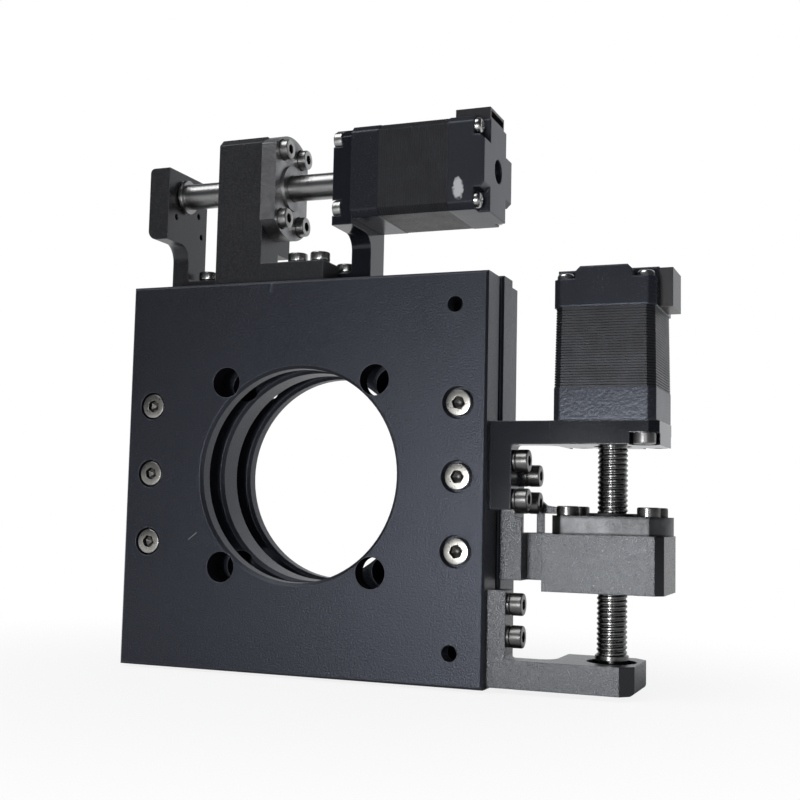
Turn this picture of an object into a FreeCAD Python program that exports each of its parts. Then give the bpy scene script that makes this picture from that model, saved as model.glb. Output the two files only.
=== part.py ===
import FreeCAD, Part
import os

# Motorized xy stage with a clear central aperture.
# Frame: origin on the front face of the stage plate at the centre of the aperture.
# X to the right, Y away from the front face, Z up. Millimetres.

V = FreeCAD.Vector

# how far a cutting tool runs past the face that it cuts
OVER = 1.0

# plates
FRONT_W = 84.0
FRONT_CORE = 4.0
FRONT_DEPTH = 7.8
MIDDLE_W = 85.0
MIDDLE_Y0 = 9.3
MIDDLE_Y1 = 16.3
BASE_H = 84.0
BASE_LEFT = -44.0
BASE_RIGHT = 41.0
BASE_Y0 = 17.6
BASE_CORE_Y = 21.6
BASE_Y1 = 25.4
SKIRT = 3.2
EDGE_CHAMFER = 0.5
APERTURE_R = 22.75
RIM_CHAMFER = 0.7

# engraved index line at the top edge of the front plate
MARK_X = -7.1
MARK_W = 0.3
MARK_LENGTH = 2.4
MARK_DEPTH = 0.15

# crossed roller rails
RAIL_LENGTH = 45.0
RAIL_PITCH = 15.0
RAIL_W = 5.5
RAIL_GAP = 0.4
RAIL_SEAT = 1.0
RAIL_AIR = 0.3
RAIL_FIT = 0.1
RAIL_EDGE = 0.3
RAIL_RELIEF = 0.6
RAIL_END_AIR = 0.5
GROOVE = 1.35
GROOVE_LIP = 0.5
ROLLER_D = 1.95
ROLLER_SHORTER = 0.1
ROLLER_PITCH = 3.0
ROLLER_COUNT = 11
CAGE_T = 0.24
CAGE_W = 3.6
CAGE_LENGTH = 36.0
CAGE_WINDOW = 2.9
CAGE_AIR = 0.12
FRONT_SPLIT = FRONT_W / 2 - SKIRT - RAIL_FIT - RAIL_W - RAIL_GAP / 2
BACK_SPLIT = BASE_H / 2 - SKIRT - RAIL_FIT - RAIL_W - RAIL_GAP / 2

# holes in the plates
ACCESS_X = 17.5
ACCESS_Z = 20.0
ACCESS_R = 3.3
BASE_HOLE_R = 1.7
PAYLOAD_X = 35.0
PAYLOAD_Z = 35.2
PAYLOAD_R = 1.65

# screws: shank radius, head radius, head height
M3_LOW = (1.5, 2.7, 2.0)
M25 = (1.25, 2.25, 2.5)
M2 = (1.0, 1.9, 2.0)
M2_WIDE = (1.0, 2.25, 2.2)
BODY_SCREW = (0.85, 1.75, 1.3)
BODY_SCREW_ROUND = 0.6
THREAD_FIT = 0.02
HOLE_AIR = 0.15
THREAD_SPARE = 0.2
HEAD_SINK = 0.2
COUNTERBORE_AIR = 0.35
PRELOAD_AIR = 0.65
SOCKET_SHARE = 0.85
SOCKET_DEPTH = 1.2
WASHER_T = 0.6
WASHER_AIR = 0.1
WASHER_INSET = 0.05
INNER_THREAD = 3.6
NUT_THREAD = 5.0

# screw line: ball screw, nut and bearing
SCREW_R = 3.0
SCREW_AIR = 0.08
SCREW_PASS = 0.8
SCREW_CHAMFER = 0.4
SCREW_END_AIR = 0.25
JOURNAL_R = 2.0
JOURNAL_SINK = 0.4
JOURNAL_FIT = 0.03
JOURNAL_PASS = 0.6
SHAFT_R = 2.5
SHAFT_AIR = 0.3
SHAFT_STEP = 1.0
SHAFT_END = 1.6
BEARING_T = 3.0
BEARING_FIT = 0.02
BEARING_RING = 0.65
BEARING_GROOVE = 0.25
NUT_FLANGE_R = 12.0
NUT_FLANGE_T = 3.7
NUT_FLAT = 8.2
NUT_BODY_R = 6.3
NUT_BODY_LENGTH = 10.4
NUT_BODY_AIR = 0.05
NUT_LIP_R = 5.2
NUT_LIP_T = 0.6
NUT_SCREW_A = 8.0
NUT_SCREW_B = 4.6
NUT_SCREW_LENGTH = 8.0
NUT_SCREW_SINK = 0.6
NUT_SCREW_AIR = 0.2
NUT_SCREW_THREAD = 6.5

# brackets
FILLET = 3.5
FOOT_FILLET = 0.8
ROOT_DOWN = 6.0
BEARING_SEAT_AIR = 0.15
PIN_R = 0.75
MOTOR_CORNER = 1.9
BLOCK_CORNER = 1.6

# motor
MOTOR_HALF = 10.1
MOTOR_CHAMFER = 1.4
MOTOR_CAP = 6.4
MOTOR_STACK = 16.0
MOTOR_LENGTH = 30.5
MOUNT_HOLE = 7.7
BODY_HOLE = 8.0
MOUNT_SCREW_LENGTH = 5.0
MOUNT_THREAD = 3.7
MOUNT_HOLE_AIR = 0.12
MOUNT_SINK = 0.1
PILOT_R = 7.5
PILOT_T = 1.0
PILOT_AIR = 0.1
PILOT_SEAT_AIR = 0.2
STACK_INSET = 0.05
STACK_CORNER = 0.1
STACK_HOLE_R = 0.95
BODY_THREAD = 4.2
POCKET = 4.4
POCKET_DEPTH = 2.4
SHOULDER = 1.0
REAR_HOLE_AIR = 0.15
ROTOR_R = 5.5
ROTOR_FIT = 0.02
ROTOR_END_AIR = 0.6
STATOR_R = 5.8
STATOR_STEP = 1.5
STATOR_REAR_STEP = 1.0

# pin header on the side of the motor
CONNECTOR_LENGTH = 7.8
CONNECTOR_BACK = 0.2
CONNECTOR_T = 2.7
CONNECTOR_LOW = 5.6
CONNECTOR_HIGH = 4.4
CONNECTOR_WALL = 0.6
CONNECTOR_FLOOR = 1.8
PIN_COUNT = 4
PIN_PITCH = 2.4
PIN_SIDE = 0.5
PIN_SHORT = 1.4

# Each drive works in its own directions: u along the screw towards the motor,
# v outwards from the plate edge, w through the depth of the stage.
# rise is the height of the screw line over the edge of the plate that holds the end brackets.
# The neck, the heights of the brackets and the block are measured from the screw line.
X_DRIVE = dict(
    name="x", edge=BASE_H / 2, nut_edge=MIDDLE_W / 2, rise=24.5, w=15.3, strip=(BASE_Y0, BASE_Y1), neck=11.5,
    motor_plate=(3.9, 8.6), motor_rise=10.1, motor_side=(9.0, 9.0), motor_foot=(-10.2, 4.6),
    motor_screws=(0.9, -7.2), mount=M2, mount_pocket=2.15, mount_corners=((-1, -1), (-1, 1), (1, -1), (1, 1)),
    bearing_plate=(-44.1, -38.9), bearing_rise=5.5, bearing_side=(7.4, 10.1), bearing_foot=(-25.6, 4.6),
    bearing_corner=(0.0, 1.0), bearing_round=(1.1, 2.2), bearing_r=4.0, bearing_sink=0.15,
    pins=((-5.5, -3.8), (-3.2, 6.2), (-8.0, 7.7)), collar=(4.0, 1.0), bearing_screws=(-35.5, -28.4),
    block=(-25.9, -14.4), block_down=15.0, block_up=11.1, block_side=7.1,
    foot=(-25.9, 1.2), foot_t=5.4, boss=0.0, foot_w=(MIDDLE_Y0 - 1.1, MIDDLE_Y1 + 0.3),
    root_w=(MIDDLE_Y0 - 1.1, MIDDLE_Y1 + 0.3), nut_screws=(-7.3, -1.7), gusset=None)
Z_DRIVE = dict(
    name="z", edge=FRONT_W / 2, nut_edge=MIDDLE_W / 2, rise=23.3, w=11.2, strip=(2.4, 7.6), neck=10.8,
    motor_plate=(6.7, 11.4), motor_rise=10.5, motor_side=(9.0, 9.0), motor_foot=(-6.4, 4.6),
    motor_screws=(3.5, -4.3), mount=M2_WIDE, mount_pocket=3.0, mount_corners=((-1, 1), (1, -1), (1, 1)),
    bearing_plate=(-41.6, -36.0), bearing_rise=5.7, bearing_side=(8.8, 8.8), bearing_foot=(-22.4, 3.8),
    bearing_corner=(2.5, 2.5), bearing_round=(1.0, 1.0), bearing_r=5.0, bearing_sink=1.2,
    pins=(), collar=(3.35, 1.2), bearing_screws=(-31.6, -25.2),
    block=(-22.3, -11.0), block_down=12.3, block_up=11.4, block_side=8.6,
    foot=(-20.7, 3.6), foot_t=3.0, boss=1.5, foot_w=(MIDDLE_Y0, MIDDLE_Y1),
    root_w=(MIDDLE_Y0 + 4.6, MIDDLE_Y1 + 2.0), nut_screws=(0.7, -4.9),
    gusset=dict(lip_top=-7.8, lip_t=1.0, w=(MIDDLE_Y0 + 4.2, MIDDLE_Y1), under=-7.0,
                post=(6.2, 7.6), post_t=1.5,
                outline=((0.0, -1.6), (5.4, -2.7), (6.9, -4.2), (8.2, -5.3), (12.3, -5.9))))


def box(x0, x1, y0, y1, z0, z1):
    return Part.makeBox(x1 - x0, y1 - y0, z1 - z0, V(x0, y0, z0))


def rod(start, along, radius, length):
    return Part.makeCylinder(radius, length, start, along)


def through(x, z, y0, y1, radius):
    """Cutting cylinder along Y that runs past both faces."""
    return rod(V(x, y0 - OVER, z), V(0, 1, 0), radius, y1 - y0 + 2 * OVER)


def group(solids):
    return Part.makeCompound(solids)


def cut(shape, tools):
    return shape.cut(group(tools)) if tools else shape


def join(first, others):
    return first.multiFuse(others).removeSplitter()


def place(drive, u, v, w):
    """Point of a drive in the frame of the part."""
    if drive["name"] == "x":
        return V(u, w, v)
    return V(v, w, u)


def line_v(drive):
    """Height of the screw line of a drive."""
    return drive["edge"] + drive["rise"]


def slab(drive, u, v, w):
    """Box of a drive from its u, v and w ranges."""
    a = place(drive, u[0], v[0], w[0])
    b = place(drive, u[1], v[1], w[1])
    return box(a.x, b.x, a.y, b.y, a.z, b.z)


def bar(drive, direction, u, v, w, radius, length):
    """Cylinder of a drive along u, v or w."""
    along = place(drive, *[1.0 if direction == name else 0.0 for name in "uvw"])
    return rod(place(drive, u, v, w), along, radius, length)


def spindle(drive, u0, u1, radius):
    """Cylinder on the screw line of a drive."""
    return bar(drive, "u", u0, line_v(drive), drive["w"], radius, u1 - u0)


def across_depth(drive, points, w):
    """Outline in u and v, drawn through the range w."""
    corners = [place(drive, u, v, w[0]) for u, v in points]
    face = Part.Face(Part.makePolygon(corners + corners[:1]))
    return face.extrude(place(drive, 0, 0, w[1] - w[0]))


def section(drive, points, u):
    """Outline in v and w, drawn through the range u."""
    corners = [place(drive, u[0], v, w) for v, w in points]
    face = Part.Face(Part.makePolygon(corners + corners[:1]))
    return face.extrude(place(drive, u[1] - u[0], 0, 0))


def soften(shape, size, rule, bevel=True):
    """Chamfer or fillet the straight edges picked by a rule on their two ends."""
    picked = []
    for edge in shape.Edges:
        if len(edge.Vertexes) == 2 and rule(edge.Vertexes[0].Point, edge.Vertexes[1].Point):
            picked.append(edge)
    if not picked:
        return shape
    return shape.makeChamfer(size, picked) if bevel else shape.makeFillet(size, picked)


def cap_screw(seat, along, length, size, washer=0.0):
    """Socket head screw: its head stands off the seat against the direction along."""
    shank, head_r, head_h = size
    axis = V(along)
    under = seat - axis * washer
    head = rod(under - axis * head_h, axis, head_r, head_h)
    body = rod(under, axis, shank - THREAD_FIT, length + washer)
    socket = rod(under - axis * head_h, axis, shank * SOCKET_SHARE, SOCKET_DEPTH)
    return head.fuse(body).cut(socket).removeSplitter()


def spring_washer(seat, along, size):
    shank, head_r, head_h = size
    axis = V(along)
    start = seat - axis * WASHER_T
    ring = rod(start, axis, head_r - WASHER_INSET, WASHER_T)
    return ring.cut(rod(start, axis, shank + WASHER_AIR, WASHER_T))


def aperture(y0, y1):
    """Bore of the aperture with a small chamfer at both rims."""
    bore = through(0, 0, y0, y1, APERTURE_R)
    front = Part.makeCone(APERTURE_R + RIM_CHAMFER, APERTURE_R, RIM_CHAMFER, V(0, y0, 0), V(0, 1, 0))
    start = V(0, y1 - RIM_CHAMFER, 0)
    back = Part.makeCone(APERTURE_R, APERTURE_R + RIM_CHAMFER, RIM_CHAMFER, start, V(0, 1, 0))
    return join(bore, [front, back])


def rail_rows():
    return [(row - 1) * RAIL_PITCH for row in range(3)]


def outer_screw_offset(split):
    return split + RAIL_GAP / 2 + RAIL_W / 2


def inner_screw_offset(split):
    return split - RAIL_GAP / 2 - RAIL_W / 2


def edge_threads(drive):
    """Threaded holes in the plate edge under the feet of both end brackets."""
    w = sum(drive["strip"]) / 2
    seats = list(drive["motor_screws"]) + list(drive["bearing_screws"])
    return [bar(drive, "v", u, drive["edge"] - SKIRT, w, M25[0], SKIRT + OVER) for u in seats]


def nut_threads(drive):
    w = (MIDDLE_Y0 + MIDDLE_Y1) / 2
    start = drive["nut_edge"] - NUT_THREAD
    return [bar(drive, "v", u, start, w, M25[0], NUT_THREAD + OVER) for u in drive["nut_screws"]]


def access_holes(y0, y1, radius):
    holes = []
    for sx in (-1, 1):
        for sz in (-1, 1):
            holes.append(through(sx * ACCESS_X, sz * ACCESS_Z, y0, y1, radius))
    return holes


def front_plate():
    """Stage plate: a skirt all round stands back over the front rails."""
    half = FRONT_W / 2
    plate = box(-half, half, 0, FRONT_DEPTH, -half, half)
    plate = soften(plate, EDGE_CHAMFER, lambda a, b: a.y < 0.01 and b.y < 0.01)
    inner = half - SKIRT
    tools = [box(-inner, inner, FRONT_CORE, FRONT_DEPTH + OVER, -inner, inner), aperture(0, FRONT_CORE)]
    tools += access_holes(0, FRONT_CORE, ACCESS_R)
    for side, air in ((-1, COUNTERBORE_AIR), (1, PRELOAD_AIR)):
        for z in rail_rows():
            x = side * outer_screw_offset(FRONT_SPLIT)
            tools.append(through(x, z, 0, FRONT_CORE, M3_LOW[0] + HOLE_AIR))
            tools.append(through(x, z, 0, M3_LOW[2] + HEAD_SINK - OVER, M3_LOW[1] + air))
    for side in (-1, 1):
        tools.append(through(PAYLOAD_X, side * PAYLOAD_Z, 0, FRONT_CORE, PAYLOAD_R))
    mark = (MARK_X - MARK_W / 2, MARK_X + MARK_W / 2)
    tools.append(box(mark[0], mark[1], -OVER, MARK_DEPTH, half - MARK_LENGTH, half + OVER))
    return cut(plate, tools + edge_threads(Z_DRIVE))


def middle_plate():
    """Cross carriage: grooves for the front rails along Z and for the back rails along X."""
    half = MIDDLE_W / 2
    plate = box(-half, half, MIDDLE_Y0, MIDDLE_Y1, -half, half)
    plate = soften(plate, EDGE_CHAMFER, lambda a, b: abs(a.y - b.y) < 0.01)
    tools = [aperture(MIDDLE_Y0, MIDDLE_Y1)] + access_holes(MIDDLE_Y0, MIDDLE_Y1, ACCESS_R)
    reach = RAIL_LENGTH / 2 + RAIL_END_AIR
    for side in (-1, 1):
        for split, front in ((FRONT_SPLIT, True), (BACK_SPLIT, False)):
            a, b = sorted((side * (split - RAIL_GAP / 2 - RAIL_W - RAIL_FIT), side * (split + RAIL_RELIEF)))
            offset = side * inner_screw_offset(split)
            if front:
                tools.append(box(a, b, MIDDLE_Y0 - OVER, MIDDLE_Y0 + RAIL_SEAT, -reach, reach))
            else:
                tools.append(box(-reach, reach, MIDDLE_Y1 - RAIL_SEAT, MIDDLE_Y1 + OVER, a, b))
            for row in rail_rows():
                start = V(offset, MIDDLE_Y0, row) if front else V(row, MIDDLE_Y1 - INNER_THREAD, offset)
                tools.append(rod(start, V(0, 1, 0), M2[0], INNER_THREAD))
    return cut(plate, tools + nut_threads(X_DRIVE) + nut_threads(Z_DRIVE))


def base_plate():
    """Back plate: its skirt stands forward over the back rails."""
    half = BASE_H / 2
    plate = box(BASE_LEFT, BASE_RIGHT, BASE_Y0, BASE_Y1, -half, half)
    plate = soften(plate, EDGE_CHAMFER, lambda a, b: a.y > BASE_Y1 - 0.01 and b.y > BASE_Y1 - 0.01)
    inner = half - SKIRT
    pocket = box(BASE_LEFT + SKIRT, BASE_RIGHT - SKIRT, BASE_Y0 - OVER, BASE_CORE_Y, -inner, inner)
    tools = [pocket, aperture(BASE_CORE_Y, BASE_Y1)]
    tools += access_holes(BASE_CORE_Y, BASE_Y1, BASE_HOLE_R)
    depth = M3_LOW[2] + HEAD_SINK
    for side in (-1, 1):
        for x in rail_rows():
            z = side * outer_screw_offset(BACK_SPLIT)
            tools.append(through(x, z, BASE_CORE_Y, BASE_Y1, M3_LOW[0] + HOLE_AIR))
            tools.append(rod(V(x, BASE_Y1 - depth, z), V(0, 1, 0), M3_LOW[1] + COUNTERBORE_AIR, depth + OVER))
    return cut(plate, tools + edge_threads(X_DRIVE))


def roller_line_front():
    """Depth of the roller line in the front pair."""
    return (FRONT_CORE + MIDDLE_Y0 + RAIL_SEAT) / 2


def roller_line_back():
    return (MIDDLE_Y1 - RAIL_SEAT + BASE_CORE_Y) / 2


def rail_blank(inside, outside, y0, y1, toward):
    """One rail along Z with its V groove facing across X, on the positive side."""
    half = RAIL_LENGTH / 2
    blank = box(inside, outside, y0, y1, -half, half)
    blank = soften(blank, RAIL_EDGE, lambda a, b: abs(a.z - b.z) > 1)
    face = outside if toward > 0 else inside
    mid = roller_line_front()
    start = -half - OVER
    lip = face + toward * GROOVE_LIP
    points = [V(face - toward * GROOVE, mid, start), V(lip, mid - GROOVE - GROOVE_LIP, start),
              V(lip, mid + GROOVE + GROOVE_LIP, start)]
    groove = Part.Face(Part.makePolygon(points + points[:1])).extrude(V(0, 0, RAIL_LENGTH + 2 * OVER))
    return blank.cut(groove)


def to_back(shape):
    """Turn a shape of the front pair onto the back pair: rails along X, back to front."""
    turned = shape.copy()
    mid = V(0, roller_line_front(), 0)
    turned.rotate(mid, V(0, 1, 0), 90)
    turned = turned.mirror(mid, V(0, 1, 0))
    turned.translate(V(0, roller_line_back() - roller_line_front(), 0))
    return turned


def both_sides(shape):
    return [shape, shape.mirror(V(0, 0, 0), V(1, 0, 0))]


def outer_rail(split):
    """Rail screwed to the front plate, threaded for the screws from the face."""
    inside = split + RAIL_GAP / 2
    top = MIDDLE_Y0 - RAIL_AIR
    rail = rail_blank(inside, inside + RAIL_W, FRONT_CORE, top, -1)
    return cut(rail, [through(outer_screw_offset(split), z, FRONT_CORE, top, M3_LOW[0]) for z in rail_rows()])


def inner_head_seat():
    """Depth at which the heads of the inner rail screws bear."""
    return FRONT_CORE + RAIL_AIR + M2[2] + HEAD_SINK


def inner_rail(split):
    """Rail seated in the groove of the middle plate, with counterbored holes."""
    outside = split - RAIL_GAP / 2
    y0, y1 = FRONT_CORE + RAIL_AIR, MIDDLE_Y0 + RAIL_SEAT
    rail = rail_blank(outside - RAIL_W, outside, y0, y1, 1)
    x = inner_screw_offset(split)
    holes = []
    for z in rail_rows():
        holes.append(through(x, z, y0, y1, M2[0] + HOLE_AIR))
        holes.append(rod(V(x, y0 - OVER, z), V(0, 1, 0), M2[1] + HOLE_AIR, inner_head_seat() - y0 + OVER))
    return cut(rail, holes)


def roller_starts():
    return [(index - (ROLLER_COUNT - 1) / 2) * ROLLER_PITCH for index in range(ROLLER_COUNT)]


def cage_strip(split):
    """Thin strip between the rails that keeps the rollers apart."""
    mid = roller_line_front()
    half = CAGE_LENGTH / 2
    strip = box(split - CAGE_T / 2, split + CAGE_T / 2, mid - CAGE_W / 2, mid + CAGE_W / 2, -half, half)
    r = ROLLER_D / 2 + CAGE_AIR
    side = CAGE_WINDOW / 2
    windows = [box(split - OVER, split + OVER, mid - side, mid + side, z - r, z + r) for z in roller_starts()]
    return cut(strip, windows)


def rollers(split):
    """Rollers with their axes crossed, turn and turn about."""
    solids = []
    length = ROLLER_D - ROLLER_SHORTER
    for index, z in enumerate(roller_starts()):
        axis = V(1, 1 if index % 2 else -1, 0)
        axis.normalize()
        solids.append(rod(V(split, roller_line_front(), z) - axis * (length / 2), axis, ROLLER_D / 2, length))
    return solids


def front_rail_screws():
    screws = []
    for side in (-1, 1):
        for z in rail_rows():
            seat = V(side * outer_screw_offset(FRONT_SPLIT), M3_LOW[2] + HEAD_SINK, z)
            screws.append(cap_screw(seat, V(0, 1, 0), MIDDLE_Y0 - RAIL_AIR - OVER - seat.y, M3_LOW))
    return screws


def base_rail_screws():
    screws = []
    for side in (-1, 1):
        for x in rail_rows():
            seat = V(x, BASE_Y1 - M3_LOW[2] - HEAD_SINK, side * outer_screw_offset(BACK_SPLIT))
            screws.append(cap_screw(seat, V(0, -1, 0), seat.y - MIDDLE_Y1 - RAIL_AIR - OVER, M3_LOW))
    return screws


def inner_rail_screws(split):
    screws = []
    reach = MIDDLE_Y0 + INNER_THREAD - THREAD_SPARE
    for z in rail_rows():
        seat = V(inner_screw_offset(split), inner_head_seat(), z)
        screws.append(cap_screw(seat, V(0, 1, 0), reach - seat.y, M2))
    return [copy for screw in screws for copy in both_sides(screw)]


def corner_points(v0, v1, w0, w1, front, back):
    """Outline in v and w with its two outer corners cut off by their own sizes."""
    points = [(v0, w0), (v1 - front, w0)]
    if front > 0:
        points.append((v1, w0 + front))
    return points + [(v1, w1 - back), (v1 - back, w1), (v0, w1)]


def runs_at(drive, u, v, a, b):
    """Whether an edge from a to b runs through the depth at one u and v."""
    want = place(drive, u, v, 0)
    return all(abs(getattr(p, k) - getattr(want, k)) < 0.01 for p in (a, b) for k in "xz")


def end_bracket(drive, plate, rise, side, foot, corner, rounds):
    """L bracket: a narrow root on the plate edge that widens round the screw line."""
    strip, edge, w = drive["strip"], drive["edge"], drive["w"]
    top = line_v(drive) + rise
    neck = line_v(drive) - drive["neck"]
    inward = foot[0] > plate[1]
    root = slab(drive, plate, (edge, top - ROOT_DOWN), strip)
    head = section(drive, corner_points(neck, top, w - side[0], w + side[1], *corner), plate)
    sole_u = (plate[0], foot[0]) if inward else (foot[0], plate[1])
    sole_v = edge + foot[1]
    shape = join(root, [head, slab(drive, sole_u, (edge, sole_v), strip)])
    corner_u = plate[1] if inward else plate[0]
    shape = soften(shape, FOOT_FILLET, lambda a, b: runs_at(drive, corner_u, sole_v, a, b), False)
    step = strip[0] if w - side[0] < strip[0] - 2 else strip[1]

    def armpit(a, b):
        a_uv = (a.x, a.z) if drive["name"] == "x" else (a.z, a.x)
        b_uv = (b.x, b.z) if drive["name"] == "x" else (b.z, b.x)
        level = abs(a_uv[1] - neck) < 0.01 and abs(b_uv[1] - neck) < 0.01
        return level and abs(a_uv[0] - b_uv[0]) > 1 and abs(a.y - step) < 0.01 and abs(b.y - step) < 0.01

    shape = soften(shape, FILLET, armpit, False)
    for level, radius in zip((top, neck), rounds):
        shape = soften(shape, radius, lambda a, b: runs_at(drive, plate[0], level, a, b), False)
    return shape


def foot_holes(drive, seats, foot):
    w = sum(drive["strip"]) / 2
    start = drive["edge"] - OVER
    height = foot[1] + WASHER_T + M25[2] + 2 * OVER
    return [bar(drive, "v", u, start, w, M25[0] + HOLE_AIR, height) for u in seats]


def mount_places(drive):
    """Places in v and w of the screws that hold the motor to its bracket."""
    v, w = line_v(drive), drive["w"]
    return [(v + sv * MOUNT_HOLE, w + sw * MOUNT_HOLE) for sv, sw in drive["mount_corners"]]


def body_places(drive):
    """Places in v and w of the four long screws at the corners of the motor."""
    v, w = line_v(drive), drive["w"]
    return [(v + sv * BODY_HOLE, w + sw * BODY_HOLE) for sv in (-1, 1) for sw in (-1, 1)]


def motor_bracket(drive):
    u0, u1 = plate = drive["motor_plate"]
    corner = (MOTOR_CORNER, MOTOR_CORNER)
    shape = end_bracket(drive, plate, drive["motor_rise"], drive["motor_side"], drive["motor_foot"],
                        corner, ())
    tools = foot_holes(drive, drive["motor_screws"], drive["motor_foot"])
    tools.append(spindle(drive, u0 - OVER, u1 + OVER, SCREW_R + SCREW_PASS))
    tools.append(spindle(drive, u1 - PILOT_T - PILOT_SEAT_AIR, u1 + OVER, PILOT_R + PILOT_AIR))
    shank_r, _, head_h = drive["mount"]
    for v, w in mount_places(drive):
        tools.append(bar(drive, "u", u0 - OVER, v, w, shank_r + MOUNT_HOLE_AIR, u1 - u0 + 2 * OVER))
        tools.append(bar(drive, "u", u0 - OVER, v, w, drive["mount_pocket"], OVER + head_h + MOUNT_SINK))
    return cut(shape, tools)


def bearing_bracket(drive):
    u0, u1 = plate = drive["bearing_plate"]
    foot = drive["bearing_foot"]
    shape = end_bracket(drive, plate, drive["bearing_rise"], drive["bearing_side"], foot,
                        drive["bearing_corner"], drive["bearing_round"])
    tools = foot_holes(drive, drive["bearing_screws"], foot)
    seat = u1 - BEARING_T - drive["bearing_sink"] - BEARING_SEAT_AIR
    tools.append(spindle(drive, seat, u1 + OVER, drive["bearing_r"]))
    tools.append(spindle(drive, u0 - OVER, u1, JOURNAL_R + JOURNAL_PASS))
    for v, w in drive["pins"]:
        tools.append(bar(drive, "u", u0 - OVER, line_v(drive) + v, drive["w"] + w, PIN_R, u1 - u0 + 2 * OVER))
    return cut(shape, tools)


def flange_pattern(drive):
    """Places in v and w of the four screws of the ball nut."""
    v, w = line_v(drive), drive["w"]
    return [(v + sv * NUT_SCREW_A, w + sw * NUT_SCREW_B) for sv in (-1, 1) for sw in (-1, 1)]


def gusset_pieces(drive):
    """Lip, curved gusset and post that tie the thin foot to the block."""
    g = drive["gusset"]
    seat = drive["nut_edge"]
    face = seat + drive["foot_t"]
    outer = face + drive["boss"]
    front = drive["foot_w"][0]
    lip = slab(drive, (drive["foot"][0], g["lip_top"]), (face - OVER, outer), (front, front + g["lip_t"]))
    pad = slab(drive, (drive["foot"][0], drive["block"][1]), (face - OVER, outer), drive["foot_w"])
    points = [(u, seat + v) for v, u in g["outline"]]
    points += [(g["under"], seat + g["outline"][-1][0]), (g["under"], seat)]
    web = across_depth(drive, points, g["w"])
    post_v = (seat + g["post"][0], seat + g["post"][1])
    post_u = (drive["block"][1] - OVER, g["under"] + OVER / 2)
    post = slab(drive, post_u, post_v, (g["w"][1] - g["post_t"], g["w"][1]))
    return [lip, pad, web, post]


def nut_bracket(drive):
    """L bracket on the middle plate that carries the ball nut."""
    v, w = line_v(drive), drive["w"]
    block_u = drive["block"]
    seat = drive["nut_edge"]
    block_v = (v - drive["block_down"], v + drive["block_up"])
    side = drive["block_side"]
    outline = corner_points(block_v[0], block_v[1], w - side, w + side, BLOCK_CORNER, BLOCK_CORNER)
    block = section(drive, outline, block_u)
    sole = slab(drive, drive["foot"], (seat, seat + drive["foot_t"]), drive["foot_w"])
    root_v = seat if drive["boss"] == 0 else seat + drive["foot_t"] + drive["boss"]
    root = slab(drive, (drive["foot"][0], block_u[1]), (root_v, block_v[0] + OVER), drive["root_w"])
    pieces = [sole, root]
    depth = (MIDDLE_Y0 + MIDDLE_Y1) / 2
    height = drive["foot_t"] + drive["boss"]
    if drive["gusset"]:
        pieces += gusset_pieces(drive)
    if drive["boss"] > 0:
        pieces += [bar(drive, "v", u, seat + OVER, depth, M25[1], height - OVER) for u in drive["nut_screws"]]
    shape = join(block, pieces)
    tools = [spindle(drive, block_u[0] - OVER, block_u[1] + OVER, NUT_BODY_R + NUT_BODY_AIR)]
    for a, b in flange_pattern(drive):
        tools.append(bar(drive, "u", block_u[1] - NUT_SCREW_THREAD, a, b, M25[0], NUT_SCREW_THREAD + OVER))
    head = M25[2] + WASHER_T
    for u in drive["nut_screws"]:
        tools.append(bar(drive, "v", u, seat - OVER, depth, M25[0] + HOLE_AIR, height + 2 * OVER))
        tools.append(bar(drive, "v", u, seat + height, depth, M25[1] + HOLE_AIR, head + OVER))
    return cut(shape, tools)


def ball_nut(drive):
    """Flanged nut: the flange is cut to two flats and its screws sit in shallow pockets."""
    face = drive["block"][1]
    top = face + NUT_FLANGE_T
    v, w = line_v(drive), drive["w"]
    flange = spindle(drive, face, top, NUT_FLANGE_R)
    reach = NUT_FLANGE_R + OVER
    flats = slab(drive, (face - OVER, top + OVER), (v - reach, v + reach), (w - NUT_FLAT, w + NUT_FLAT))
    body = spindle(drive, face - NUT_BODY_LENGTH, face + OVER / 2, NUT_BODY_R)
    lip = spindle(drive, top - OVER / 2, top + NUT_LIP_T, NUT_LIP_R)
    shape = join(flange.common(flats), [body, lip])
    tools = [spindle(drive, face - NUT_BODY_LENGTH - OVER, top + NUT_LIP_T + OVER, SCREW_R + SCREW_AIR)]
    for a, b in flange_pattern(drive):
        tools.append(bar(drive, "u", face - OVER, a, b, M25[0] + HOLE_AIR, NUT_FLANGE_T + 2 * OVER))
        tools.append(bar(drive, "u", top - NUT_SCREW_SINK, a, b, M25[1] + NUT_SCREW_AIR,
                         NUT_SCREW_SINK + OVER))
    return cut(shape, tools)


def flange_screws(drive):
    seat = drive["block"][1] + NUT_FLANGE_T - NUT_SCREW_SINK
    along = place(drive, -1, 0, 0)
    return [cap_screw(place(drive, seat, a, b), along, NUT_SCREW_LENGTH, M25)
            for a, b in flange_pattern(drive)]


def nut_foot_screws(drive):
    seat = drive["nut_edge"] + drive["foot_t"] + drive["boss"]
    depth = (MIDDLE_Y0 + MIDDLE_Y1) / 2
    along = place(drive, 0, -1, 0)
    seats = [place(drive, u, seat, depth) for u in drive["nut_screws"]]
    length = seat - drive["nut_edge"] + NUT_THREAD - THREAD_SPARE
    screws = [cap_screw(p, along, length, M25, WASHER_T) for p in seats]
    return screws, [spring_washer(p, along, M25) for p in seats]


def foot_screws(drive, seats_u, foot):
    seat = drive["edge"] + foot[1]
    w = sum(drive["strip"]) / 2
    along = place(drive, 0, -1, 0)
    seats = [place(drive, u, seat, w) for u in seats_u]
    screws = [cap_screw(p, along, foot[1] + SKIRT - THREAD_SPARE, M25, WASHER_T) for p in seats]
    return screws, [spring_washer(p, along, M25) for p in seats]


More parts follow.
